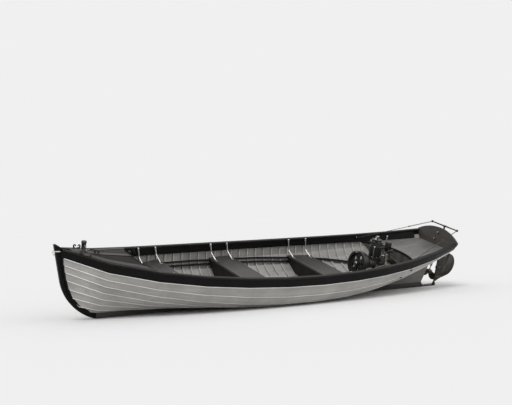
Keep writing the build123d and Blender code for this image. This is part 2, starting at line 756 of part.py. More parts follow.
with BuildPart() as propeller:
    with BuildSketch(shaft_plane(SHAFT_PROPELLER[0])):
        Circle(HUB_RADIUS)
    extrude(amount=HUB_LENGTH / 2, both=True)
    hub_plane = shaft_plane(SHAFT_PROPELLER[0])
    for blade in range(3):
        swing = radians(90 + 120 * blade)
        radial = hub_plane.x_dir * cos(swing) + hub_plane.y_dir * sin(swing)
        around = hub_plane.z_dir.cross(radial)
        along = hub_plane.z_dir * cos(radians(BLADE_PITCH)) + around * sin(radians(BLADE_PITCH))
        face_plane = Plane(origin=hub_plane.origin, x_dir=radial, z_dir=radial.cross(along))
        with BuildSketch(face_plane.offset(-BLADE_THICKNESS / 2)):
            with Locations((PROPELLER_RADIUS * 0.58, 0)):
                Ellipse(PROPELLER_RADIUS * 0.42, PROPELLER_RADIUS * 0.3)
            with Locations((PROPELLER_RADIUS * 0.2, 0)):
                Rectangle(PROPELLER_RADIUS * 0.3, PROPELLER_RADIUS * 0.22)
        extrude(amount=BLADE_THICKNESS)
    with BuildSketch(shaft_plane(SHAFT_PROPELLER[0] - 80)):
        Circle(SHAFT_RADIUS + SHAFT_RUN)
    extrude(amount=200, mode=Mode.SUBTRACT)
keep(propeller, "propeller")

with BuildPart() as flywheel:
    with BuildSketch(shaft_plane(SHAFT_FLYWHEEL[0])):
        Circle(FLYWHEEL_RADIUS)
        Circle(SHAFT_RADIUS + SHAFT_RUN, mode=Mode.SUBTRACT)
    extrude(amount=FLYWHEEL_WIDTH / 2, both=True)
    for side in (1, -1):
        with BuildSketch(shaft_plane(SHAFT_FLYWHEEL[0]).offset(side * FLYWHEEL_WEB / 2)):
            Circle(FLYWHEEL_RADIUS - FLYWHEEL_RIM)
            Circle(FLYWHEEL_HUB, mode=Mode.SUBTRACT)
        extrude(amount=side * FLYWHEEL_WIDTH / 2, mode=Mode.SUBTRACT)
    with BuildSketch(shaft_plane(SHAFT_FLYWHEEL[0])):
        with PolarLocations((FLYWHEEL_RADIUS - FLYWHEEL_RIM + FLYWHEEL_HUB) / 2, FLYWHEEL_HOLES):
            Circle(FLYWHEEL_HOLE_RADIUS)
    extrude(amount=FLYWHEEL_WIDTH / 2, both=True, mode=Mode.SUBTRACT)
keep(flywheel, "flywheel")

# Rudder: a wooden blade on a metal stock, with a yoke on top
with BuildPart() as rudder_blade:
    with BuildSketch(Plane.XZ.offset(-RUDDER_THICKNESS / 2)):
        with BuildLine():
            lead = STOCK_X - STOCK_RADIUS - FIT
            Polyline((-262, 456), (-221, 466), (lead, 466), (lead, 58), (-166, 93), (-291, 132))
            ThreePointArc((-291, 132), (-418, 262), (-262, 456))
        make_face()
    extrude(amount=RUDDER_THICKNESS)
keep(rudder_blade, "rudder_blade")

with BuildPart() as rudder_stock:
    with BuildSketch(Plane.XY.offset(10 + FIT)):
        with Locations((STOCK_X, 0)):
            Circle(STOCK_RADIUS)
    extrude(amount=STOCK_TOP_Z - 10 - FIT)
keep(rudder_stock, "rudder_stock")

with BuildPart() as yoke:
    with BuildSketch(Plane.XY.offset(STOCK_TOP_Z + FIT)):
        with Locations((STOCK_X, 0)):
            Rectangle(26, 2 * YOKE_HALF_SPAN)
            Circle(26)
        with Locations((STOCK_X, YOKE_HALF_SPAN), (STOCK_X, -YOKE_HALF_SPAN)):
            Circle(20)
    extrude(amount=YOKE_THICKNESS)
keep(yoke, "rudder_yoke")

# Gudgeon strap on the transom, round the stock
with BuildPart() as gudgeon:
    with BuildSketch(Plane.XY.offset(600)):
        with Locations((STOCK_X, 0)):
            Circle(STOCK_RADIUS + 10)
        with Locations(((STOCK_X + transom_x(600)) / 2 + 4, 0)):
            Rectangle(transom_x(600) - STOCK_X - 8, 26)
        with Locations((STOCK_X, 0)):
            Circle(STOCK_RADIUS + SHAFT_RUN, mode=Mode.SUBTRACT)
    extrude(amount=30)
    with BuildSketch(TRANSOM_PLANE.offset(-FIT)):
        with Locations((0, 615 / TRANSOM_COS)):
            Rectangle(200, 200)
    extrude(amount=60, mode=Mode.SUBTRACT)
keep(gudgeon, "rudder_gudgeon")

# Engine bearers, seated on the ribs either side of the keel
with BuildPart() as bearers:
    for side in (1, -1):
        with BuildSketch(Plane.XZ.offset(-side * BEARER_Y - BEARER_WIDTH / 2)):
            with BuildLine():
                seat_y = BEARER_Y + BEARER_WIDTH / 2
                feet = [
                    (x, inner_z(x, seat_y, FIT + RIB_DEPTH) + FIT)
                    for x in (BEARER_AFT_X, STATIONS[2][0], BEARER_FORE_X)
                ]
                heads = [(x, shaft_z(x) - 20) for x in (BEARER_FORE_X, BEARER_AFT_X)]
                Polyline(*feet, *heads, close=True)
            make_face()
        extrude(amount=BEARER_WIDTH)
keep(bearers, "engine_bearers")

# Crankcase round the shaft, with feet on the bearers
with BuildPart() as crankcase:
    with BuildSketch(shaft_plane(CRANKCASE_AFT_X)):
        Circle(CRANKCASE_RADIUS)
    extrude(amount=CRANKCASE_LENGTH)
    with BuildSketch(shaft_plane(CRANKCASE_AFT_X).offset(CRANKCASE_LENGTH * 0.2)):
        with Locations((0, 0)):
            Rectangle(2 * BEARER_Y + BEARER_WIDTH, 24, align=(Align.CENTER, Align.MIN))
    extrude(amount=CRANKCASE_LENGTH * 0.6)
    with BuildSketch(Plane.XY.offset(shaft_z(CYLINDER_X))):
        with Locations((CYLINDER_X, 0)):
            Circle(CYLINDER_RADIUS + 8)
    extrude(amount=CRANKCASE_RADIUS + 14 - FIT)
    with BuildSketch(shaft_plane(0)):
        Circle(SHAFT_RADIUS + SHAFT_RUN)
    extrude(amount=1600, mode=Mode.SUBTRACT)
keep(crankcase, "engine_crankcase")

with BuildPart() as cylinder:
    with BuildSketch(Plane.XY.offset(shaft_z(CYLINDER_X) + CRANKCASE_RADIUS + 14)):
        with Locations((CYLINDER_X, 0)):
            Circle(CYLINDER_RADIUS)
    extrude(amount=CYLINDER_HEIGHT)
keep(cylinder, "engine_cylinder")

# Head with its priming cup, carburettor on the port side, and a water pump on the crankcase's after face
CYLINDER_TOP_Z = shaft_z(CYLINDER_X) + CRANKCASE_RADIUS + 14 + CYLINDER_HEIGHT
with BuildPart() as head:
    with BuildSketch(Plane.XY.offset(CYLINDER_TOP_Z + FIT)):
        with Locations((CYLINDER_X, 0)):
            Circle(HEAD_RADIUS)
    extrude(amount=HEAD_HEIGHT)
    with BuildSketch(Plane.XY.offset(CYLINDER_TOP_Z + HEAD_HEIGHT)):
        with Locations((CYLINDER_X, 0)):
            Circle(CUP_RADIUS)
    extrude(amount=CUP_HEIGHT)
keep(head, "engine_head")

with BuildPart() as carburettor:
    carb_x, carb_y, carb_z = CARBURETTOR
    with BuildSketch(Plane.XY.offset(carb_z - CARBURETTOR_HEIGHT / 2)):
        with Locations((carb_x, carb_y)):
            Circle(CARBURETTOR_RADIUS)
    extrude(amount=CARBURETTOR_HEIGHT)
    inlet = Vector(CYLINDER_X - carb_x, -carb_y, 0).normalized()
    with BuildSketch(Plane(origin=(carb_x, carb_y, carb_z), z_dir=inlet)):
        Circle(CARBURETTOR_RADIUS / 2)
    extrude(amount=hypot(CYLINDER_X - carb_x, carb_y) - 2)
    with BuildSketch(Plane.XY.offset(carb_z - CARBURETTOR_HEIGHT)):
        with Locations((CYLINDER_X, 0)):
            Circle(CYLINDER_RADIUS + FIT)
    extrude(amount=2 * CARBURETTOR_HEIGHT, mode=Mode.SUBTRACT)
keep(carburettor, "carburettor")

with BuildPart() as pump:
    with BuildSketch(shaft_plane(CRANKCASE_AFT_X)):
        with Locations((PUMP_Y, 0)):
            Circle(PUMP_RADIUS)
    extrude(amount=-PUMP_LENGTH)
    with BuildSketch(shaft_plane(CRANKCASE_AFT_X)):
        Rectangle(4 * CRANKCASE_RADIUS, 4 * CRANKCASE_RADIUS)
    extrude(amount=-FIT, mode=Mode.SUBTRACT)
keep(pump, "water_pump")


def outer_point(x, k, share):
    """A point on the outside of strake k to port at x, at a share of the way up to its upper seam."""
    low, high = (Vector(0, *hull_at(x)[seam]) for seam in (k, k + 1))
    ny, nz = outward((low.Y, low.Z), (high.Y, high.Z))
    off = PLANK + (PLANK + SEAM) * (1 - share)
    middle = low + (high - low) * share
    return Vector(x, middle.Y + ny * off, middle.Z + nz * off)


# Outlets through the port side for the exhaust and the cooling water
with BuildPart() as outlets:
    for x, k in OUTLETS:
        middle = outer_point(x, k, 0.55)
        up = outer_point(x, k, 0.8) - outer_point(x, k, 0.3)
        fore = outer_point(x + OUTLET_RADIUS, k, 0.55) - outer_point(x - OUTLET_RADIUS, k, 0.55)
        away = up.cross(fore).normalized()
        with BuildSketch(Plane(origin=middle + away * FIT, z_dir=away)):
            Circle(OUTLET_RADIUS)
        extrude(amount=OUTLET_HEIGHT)
keep(outlets, "hull_outlets")

# Deck beam under the foredeck's hollow edge
with BuildPart() as foredeck_beam:
    beam_top = DECK_THICKNESS + FIT
    loft(foredeck_layers(beam_top, beam_top + BEAM_DEPTH, STATIONS[-1][0]), ruled=True)
    clear_x = FOREDECK_AFT_X + FOREDECK_HOLLOW / 2
    clear_z = rail_at(clear_x)[1] - beam_top - BEAM_DEPTH - DECK_THICKNESS
    half = inner_y(clear_x, clear_z, 3 * FIT + RIB_DEPTH + INWALE_THICKNESS + 2)
    half = min(half, rail_at(clear_x)[0] - RAIL_WIDTH - 2)
    with BuildSketch(Plane.XY.offset(STEM_FOOT[1])):
        with Locations((FOREDECK_AFT_X, 0)):
            aft_radii = (FOREDECK_HOLLOW + BEAM_SETBACK, FOREDECK_EDGE_REACH + BEAM_SETBACK)
            Ellipse(*[radius + BEAM_THICKNESS for radius in aft_radii])
            Ellipse(*aft_radii, mode=Mode.SUBTRACT)
            Rectangle(2 * FOREDECK_HOLLOW, 2 * half, align=(Align.MIN, Align.CENTER), mode=Mode.INTERSECT)
    extrude(amount=STEM_HEAD_Z, mode=Mode.INTERSECT)
keep(foredeck_beam, "foredeck_beam")

# Curved board under the afterdeck's hollow edge
with BuildPart() as bulkhead:
    with BuildSketch(Plane.XY.offset(BULKHEAD_FOOT_Z)):
        with BuildLine():
            front = ThreePointArc(*AFTERDECK_EDGE)
            behind = ThreePointArc(*[(x - BULKHEAD_THICKNESS, y) for x, y in AFTERDECK_EDGE])
            Line(front @ 0, behind @ 0)
            Line(front @ 1, behind @ 1)
        make_face()
    extrude(amount=STEM_HEAD_Z - BULKHEAD_FOOT_Z)
    faces = []
    for x in (640, STATIONS[2][0], 1060):
        head = rail_at(x)[1] - AFTERDECK_DROP - DECK_THICKNESS - FIT
        inset = FIT + RIB_DEPTH + 2
        foot = BULKHEAD_FOOT_Z - 10
        side = [foot + (head - foot) * share for share in (0, 0.25, 0.5, 0.75, 1)]
        side = [(inner_y(x, z, inset), z) for z in side]
        ring = [(x, y, z) for y, z in side] + [(x, -y, z) for y, z in reversed(side)]
        faces.append(outline(ring))
    loft(faces, ruled=True, mode=Mode.INTERSECT)
keep(bulkhead, "afterdeck_bulkhead")

# Bent metal rods that brace the thwarts to the rails
with BuildPart() as knees:
    for aft, fore, top in THWARTS:
        for x in (aft + KNEE_END_INSET, fore - KNEE_END_INSET):
            x_head, x_foot = x + KNEE_HEAD_FORWARD, x + KNEE_FOOT_FORWARD
            rail_y, rail_z = min(rail_at(x_head)[0], rail_at(x_foot)[0]), rail_at(x_head)[1]
            y_head = rail_y - RAIL_WIDTH - KNEE_RADIUS - 2 * FIT
            seat = top + KNEE_RADIUS * cos(atan2(KNEE_RISE, KNEE_REACH - KNEE_DIP)) + FIT
            with BuildLine() as bend:
                FilletPolyline(
                    (x_head, y_head, rail_z - KNEE_RADIUS),
                    ((x_head + x_foot) / 2, y_head - KNEE_DIP, seat + KNEE_RISE),
                    (x_foot, y_head - KNEE_REACH, seat),
                    radius=KNEE_BEND,
                )
            with BuildSketch(Plane(origin=bend.line @ 0, z_dir=bend.line % 0)):
                Circle(KNEE_RADIUS)
            sweep(path=bend.line)
    mirror(about=Plane.XZ)
keep(knees, "thwart_knees")

# Bow fittings: bitt, chocks on the rails, cleat and a ring on an eyebolt
with BuildPart() as bitt:
    base_z = deck_top(BITT_X + 40, 0) + FIT
    with BuildSketch(Plane.XY.offset(base_z)):
        with Locations((BITT_X, 0)):
            Circle(BITT_RADIUS + 14)
    extrude(amount=10)
    with BuildSketch(Plane.XY.offset(base_z + 10)):
        with Locations((BITT_X, 0)):
            Circle(BITT_RADIUS)
    extrude(amount=BITT_HEIGHT - 10)
keep(bitt, "mooring_bitt")

with BuildPart() as chocks:
    faces = []
    for x in (CHOCK_X - CHOCK_LENGTH / 2, CHOCK_X + CHOCK_LENGTH / 2):
        y, z = rail_at(x)
        y, z = y - RAIL_WIDTH / 2, z + FIT
        faces.append(outline([(x, y - 10, z), (x, y + 10, z), (x, y + 10, z + 22), (x, y - 10, z + 22)]))
    loft(faces, ruled=True)
    mirror(about=Plane.XZ)
keep(chocks, "bow_chocks")

with BuildPart() as cleat:
    for length, low, high, half in ((60, FIT, 28, 12), (CLEAT_LENGTH, 24, 38, 8)):
        faces = []
        for x in (CLEAT_X - length / 2, CLEAT_X + length / 2):
            z = deck_top(x, 0)
            faces.append(outline([(x, -half, z + low), (x, half, z + low), (x, half, z + high), (x, -half, z + high)]))
        loft(faces, ruled=True)
keep(cleat, "deck_cleat")

with BuildPart() as ring:
    stem_face = STEM_HEAD_X - (STEM_HEAD_Z - RING_Z) * (STEM_HEAD_X - STEM_FOOT[0]) / (STEM_HEAD_Z - STEM_FOOT[1])
    with BuildSketch(Plane.YZ.offset(stem_face + 2)):
        with Locations((0, RING_Z)):
            Circle(5)
    extrude(amount=16)
    with BuildSketch(Plane.YZ.offset(stem_face + 18)):
        with Locations((0, RING_Z)):
            Circle(9)
    extrude(amount=5)
    drop = RING_RADIUS - RING_WIRE - 5 - FIT
    with BuildSketch(Plane.XZ):
        with Locations((stem_face + 11, RING_Z - drop + RING_RADIUS)):
            Circle(RING_WIRE)
    revolve(axis=Axis((stem_face + 11, 0, RING_Z - drop), (1, 0, 0)))
keep(ring, "bow_ring")

# Helm wheel on its bracket
HELM_FACE = Plane(origin=(HELM_X, HELM_Y, HELM_Z), x_dir=(0, 1, 0), z_dir=(1, 0, 0))
with BuildPart() as helm_wheel:
    with BuildSketch(HELM_FACE):
        Circle(HELM_RADIUS)
        Circle(HELM_RADIUS - 12, mode=Mode.SUBTRACT)
        Circle(20)
        with PolarLocations(0, HELM_SPOKES, start_angle=90):
            with Locations(((HELM_RADIUS + HELM_HANDLE) / 2, 0)):
                Rectangle(HELM_RADIUS + HELM_HANDLE, 9)
        Circle(HELM_PIN_RADIUS + SHAFT_RUN, mode=Mode.SUBTRACT)
    extrude(amount=14)
keep(helm_wheel, "helm_wheel")

with BuildPart() as helm_bracket:
    with BuildSketch(HELM_FACE.offset(HELM_PLATE_OFF)):
        with Locations((0, -HELM_PLATE_DROP)):
            Rectangle(*HELM_PLATE)
    extrude(amount=FOREDECK_AFT_X + FOREDECK_HOLLOW - HELM_X - HELM_PLATE_OFF)
    with BuildSketch(Plane.XY.offset(STEM_FOOT[1])):
        with Locations((FOREDECK_AFT_X, 0)):
            Ellipse(FOREDECK_HOLLOW - FIT, FOREDECK_EDGE_REACH - FIT)
    extrude(amount=STEM_HEAD_Z, mode=Mode.INTERSECT)
    with BuildSketch(HELM_FACE.offset(-HELM_PIN_TAIL)):
        Circle(HELM_PIN_RADIUS)
    extrude(amount=HELM_PIN_TAIL + HELM_PLATE_OFF + 2)
keep(helm_bracket, "helm_bracket")

# Bronze bearing where the shaft leaves the sternpost
with BuildPart() as bearing:
    with BuildSketch(shaft_plane(post_x(shaft_z(140)) - 22)):
        Circle(30)
        Circle(SHAFT_RADIUS + SHAFT_RUN, mode=Mode.SUBTRACT)
    extrude(amount=60)
    with BuildSketch(Plane.XZ.offset(-60)):
        with BuildLine():
            Polyline(
                (post_x(0) - FIT, 0),
                (post_x(500) - FIT, 500),
                (post_x(500) + 400, 500),
                (post_x(0) + 400, 0),
                close=True,
            )
        make_face()
    extrude(amount=120, mode=Mode.SUBTRACT)
keep(bearing, "stern_bearing")

# Exhaust from the cylinder's aft side to the port side of the hull
with BuildPart() as exhaust:
    start = (CYLINDER_X - CYLINDER_RADIUS - FIT, 0, EXHAUST_Z)
    end_x, end_z = EXHAUST_END
    finish = (end_x, inner_y(end_x, end_z, FIT + RIB_DEPTH + EXHAUST_RADIUS + 4), end_z)
    with BuildLine() as run:
        FilletPolyline(start, *EXHAUST_TURNS, finish, radius=EXHAUST_BEND)
    with BuildSketch(Plane(origin=run.line @ 0, z_dir=run.line % 0)):
        Circle(EXHAUST_RADIUS)
    sweep(path=run.line)
keep(exhaust, "exhaust_pipe")

# Steering lines and the fairleads that they run through
FAIRLEAD_Z = rail_at(FAIRLEAD_X)[1] - FAIRLEAD_DROP
FAIRLEAD_Y = inner_y(FAIRLEAD_X - 15, FAIRLEAD_Z - 16, 4 * FIT + RIB_DEPTH + INWALE_THICKNESS) - 8
with BuildPart() as fairleads:
    with BuildSketch(Plane.XY.offset(FAIRLEAD_Z - 16)):
        with Locations((FAIRLEAD_X, FAIRLEAD_Y)):
            Rectangle(30, 16)
    extrude(amount=32)
    mirror(about=Plane.XZ)
keep(fairleads, "line_fairleads")

with BuildPart() as lines:
    near = Vector(STOCK_X, YOKE_HALF_SPAN, STOCK_TOP_Z + FIT + YOKE_THICKNESS / 2)
    far = Vector(FAIRLEAD_X - 15, FAIRLEAD_Y, FAIRLEAD_Z)
    way = (far - near).normalized()
    with BuildSketch(Plane(origin=near + way * 24, z_dir=way)):
        Circle(LINE_RADIUS)
    extrude(amount=(far - near).length - 26)
    mirror(about=Plane.XZ)
keep(lines, "steering_lines")

# Everything is moved so that the middle of the floor under the boat is the origin, and written out
whole = Compound([builder.part for builder in PIECES.values()]).bounding_box()
to_origin = Location((-(whole.min.X + whole.max.X) / 2, -(whole.min.Y + whole.max.Y) / 2, -whole.min.Z))
os.makedirs("parts", exist_ok=True)
for name, builder in PIECES.items():
    builder.part = Part(builder.part.moved(to_origin).wrapped)
    builder.part.label = name
    export_step(builder.part, f"parts/{name}.step")
print("heel", HEEL, "shift", tuple(to_origin.position), "nodes", len(PIECES))
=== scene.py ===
"""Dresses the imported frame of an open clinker-built motor launch and sets it in a plain pale studio.

Pieces are drawn in the upright boat's axes, x forward from the transom's corners, y to port and z up from the
bottom of the keel, in millimetres, and are then laid over with the boat.
"""

from __future__ import annotations

import json
import logging
import math
from dataclasses import dataclass, replace
from enum import Enum
from typing import Iterable, Sequence

import bmesh
import bpy
from mathutils import Matrix, Vector

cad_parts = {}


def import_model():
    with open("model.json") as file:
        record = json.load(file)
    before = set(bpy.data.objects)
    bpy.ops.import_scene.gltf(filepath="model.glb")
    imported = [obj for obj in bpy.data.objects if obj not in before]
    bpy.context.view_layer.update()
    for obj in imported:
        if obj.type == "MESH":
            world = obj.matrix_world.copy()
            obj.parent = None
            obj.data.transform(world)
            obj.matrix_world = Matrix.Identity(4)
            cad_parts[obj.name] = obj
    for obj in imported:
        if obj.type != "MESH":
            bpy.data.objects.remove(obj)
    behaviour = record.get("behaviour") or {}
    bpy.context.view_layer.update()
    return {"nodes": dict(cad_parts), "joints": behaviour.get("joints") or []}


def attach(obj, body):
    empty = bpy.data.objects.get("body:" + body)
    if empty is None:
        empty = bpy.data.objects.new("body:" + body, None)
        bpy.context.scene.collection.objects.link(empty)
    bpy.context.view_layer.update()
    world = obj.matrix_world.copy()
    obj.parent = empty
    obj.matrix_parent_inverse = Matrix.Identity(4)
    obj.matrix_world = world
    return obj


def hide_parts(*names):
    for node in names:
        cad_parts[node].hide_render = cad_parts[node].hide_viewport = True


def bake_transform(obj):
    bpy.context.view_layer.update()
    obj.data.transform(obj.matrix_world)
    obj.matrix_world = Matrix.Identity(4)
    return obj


LOG = logging.getLogger("launch")
Point = Sequence[float]


@dataclass(frozen=True)
class BoatAxes:
    """The upright boat's axes as they lie in the row's frame.

    Attributes:
        heel: Angle the boat leans to port, in radians.
        matrix: Takes the boat's millimetres to the row's metres.
    """

    heel: float
    matrix: Matrix

    @classmethod
    def read(cls, joints: Iterable[dict]) -> "BoatAxes":
        """Finds the axes from the rudder's joint.

        Args:
            joints: The frame's joints.

        Returns:
            The boat's axes.
        """
        rudder = next(joint for joint in joints if joint["name"] == "rudder_turn")
        heel = math.atan2(rudder["axis"][1], rudder["axis"][2])
        turn = Matrix.Rotation(-heel, 4, "X")
        origin = Vector(rudder["pos_m"]) - turn @ (Vector((STOCK_X, 0, STOCK_MARK_Z)) * MM)
        return cls(heel, Matrix.Translation(origin) @ turn @ Matrix.Scale(MM, 4))

    def at(self, x: float, y: float, z: float) -> Vector:
        """A point of the boat in the row's frame."""
        return self.matrix @ Vector((x, y, z))

    def way(self, x: float, y: float, z: float) -> Vector:
        """A direction of the boat in the row's frame."""
        return (Matrix.Rotation(-self.heel, 3, "X") @ Vector((x, y, z))).normalized()


MM = 0.001
STOCK_X = -88
STOCK_MARK_Z = 400
PLANK = 9
LAP = 20
SEAM = 0.5
TOP_STRAKE = 68
STRAKES = 8
RABBET_Y = 22.3
RAIL_WIDTH = 48
RAIL_DROP = 18.6
TRANSOM_CORNER_Z = 724
TRANSOM_RAKE = 0.2
TRANSOM_THICKNESS = 26
SHAFT_AFT = Vector((52, 0, 218))
SHAFT_FORE = Vector((1390, 0, 405))
STATIONS = (
    (0, 372, 724, 430, 20, 170, 33, 120),
    (500, 490, 658, 300, 17, 260, 20, 170),
    (1000, 588, 611, 185, 14, 340, 9, 240),
    (1500, 655, 580, 112, 11, 400, 4, 320),
    (2000, 694, 561, 80, 8, 450, 1, 370),
    (2500, 706, 552, 74, 7, 480, 0, 385),
    (3000, 691, 554, 72, 7, 475, 1, 385),
    (3500, 647, 566, 72, 10, 420, 3, 370),
    (4000, 569, 589, 72, 16, 340, 6, 350),
    (4500, 445, 629, 72, 27, 240, 9, 330),
    (5000, 263, 696, 76, 50, 140, 12, 330),
)
STEM_RAIL = (5446, 30, 800)
DECK_EDGE_X = 4517
DECK_HOLLOW = 138
DECK_EDGE_REACH = 378.8
DECK_CROWN = 34
CURVE_STEPS = 120
STEM_LANDINGS = (
    (5087, 90),
    (5229, 190),
    (5305, 290),
    (5350, 388),
    (5382, 486),
    (5405, 575),
    (5422, 653),
    (5437, 729),
    (5446, 781),
)


def between(table: Sequence[tuple[float, float]], x: float) -> float:
    """The value at x on a line drawn through pairs of x and value."""
    for (x0, v0), (x1, v1) in zip(table, table[1:]):
        if x <= x1:
            return v0 + (v1 - v0) * (x - x0) / (x1 - x0)
    return table[-1][1]


def rail_at(x: float) -> tuple[float, float]:
    """The rail's outer half breadth and the height of its top at x."""
    breadth = [(row[0], row[1]) for row in STATIONS] + [(STEM_RAIL[0], STEM_RAIL[1])]
    height = [(row[0], row[2]) for row in STATIONS] + [(STEM_RAIL[0], STEM_RAIL[2])]
    return between(breadth, x), between(height, x)


def deck_z(x: float, share: float = 0.0) -> float:
    """The foredeck's top at x, and at a share of its half breadth."""
    y, z = rail_at(x)
    crown = DECK_CROWN * min(1.0, 1.3 * (y - RAIL_WIDTH) / rail_at(DECK_EDGE_X)[0])
    return z + crown * (1 - share * share)


def deck_edge_x(y: float) -> float:
    """The foredeck's hollow after edge at a distance from the centre line."""
    return DECK_EDGE_X + DECK_HOLLOW * math.sqrt(max(0.0, 1 - (y / DECK_EDGE_REACH) ** 2))


def seam_points(row: Sequence[float]) -> list[tuple[float, float]]:
    """The seams of one station, from the keel up to the sheer.

    Args:
        row: A row of the table of stations.

    Returns:
        Pairs of y and z.
    """
    _, breadth, rail_z, rabbet_z, rise, reach, flare, side_reach = row
    top = Vector((breadth - PLANK - 0.3, rail_z - RAIL_DROP))
    low = Vector((RABBET_Y, rabbet_z))
    low_handle = low + Vector((math.cos(math.radians(rise)), math.sin(math.radians(rise)))) * reach
    top_handle = top - Vector((side_reach * math.tan(math.radians(flare)), side_reach))
    curve = []
    for step in range(CURVE_STEPS + 1):
        t = step / CURVE_STEPS
        weights = ((1 - t) ** 3, 3 * t * (1 - t) ** 2, 3 * t * t * (1 - t), t**3)
        curve.append(sum((w * p for w, p in zip(weights, (low, low_handle, top_handle, top))), Vector((0, 0))))
    lengths = [0.0]
    for a, b in zip(curve, curve[1:]):
        lengths.append(lengths[-1] + (b - a).length)
    girths = [k * (lengths[-1] - TOP_STRAKE) / (STRAKES - 1) for k in range(STRAKES)] + [lengths[-1]]
    ys = [(s, c.x) for s, c in zip(lengths, curve)]
    zs = [(s, c.y) for s, c in zip(lengths, curve)]
    return [(between(ys, g), between(zs, g)) for g in girths]


class Grain(Enum):
    """The way a timber's grain runs in the boat."""

    FORE_AFT = (0.9, 55.0, 55.0)
    ATHWART = (55.0, 0.9, 55.0)
    UPRIGHT = (55.0, 55.0, 0.9)


def add(tree: bpy.types.NodeTree, kind: str, inputs: dict | None = None, **settings: object) -> bpy.types.Node:
    """Adds a node with its settings, values and links.

    Args:
        tree: The node tree.
        kind: The node's type.
        inputs: Input names or numbers with a value, or the socket to link from.
        **settings: The node's own settings.

    Returns:
        The node.
    """
    node = tree.nodes.new(kind)
    for name, value in settings.items():
        setattr(node, name, value)
    for name, value in (inputs or {}).items():
        if isinstance(value, bpy.types.NodeSocket):
            tree.links.new(value, node.inputs[name])
        else:
            node.inputs[name].default_value = value
    return node


def colour(code: str, tone: float = 1.0) -> tuple[float, float, float, float]:
    """Turns an sRGB hex code to a linear colour.

    Args:
        code: Six hex digits.
        tone: Factor on the linear colour.

    Returns:
        Red, green, blue and an alpha of one.
    """
    parts = [int(code[i : i + 2], 16) / 255 for i in (0, 2, 4)]
    linear = [c / 12.92 if c <= 0.04045 else ((c + 0.055) / 1.055) ** 2.4 for c in parts]
    return (*(c * tone for c in linear), 1.0)


def mix(
    tree: bpy.types.NodeTree, share: bpy.types.NodeSocket, low: Point, high: Point
) -> bpy.types.NodeSocket:
    """A colour between two, by a share from another node."""
    node = add(tree, "ShaderNodeMix", {0: share, 6: low, 7: high}, data_type="RGBA")
    return node.outputs[2]


def boat_coordinates(tree: bpy.types.NodeTree, heel: float) -> bpy.types.NodeSocket:
    """Object coordinates turned back to the upright boat."""
    coordinates = add(tree, "ShaderNodeTexCoord")
    turn = add(tree, "ShaderNodeMapping", {"Vector": coordinates.outputs["Object"], "Rotation": (heel, 0, 0)})
    return turn.outputs[0]


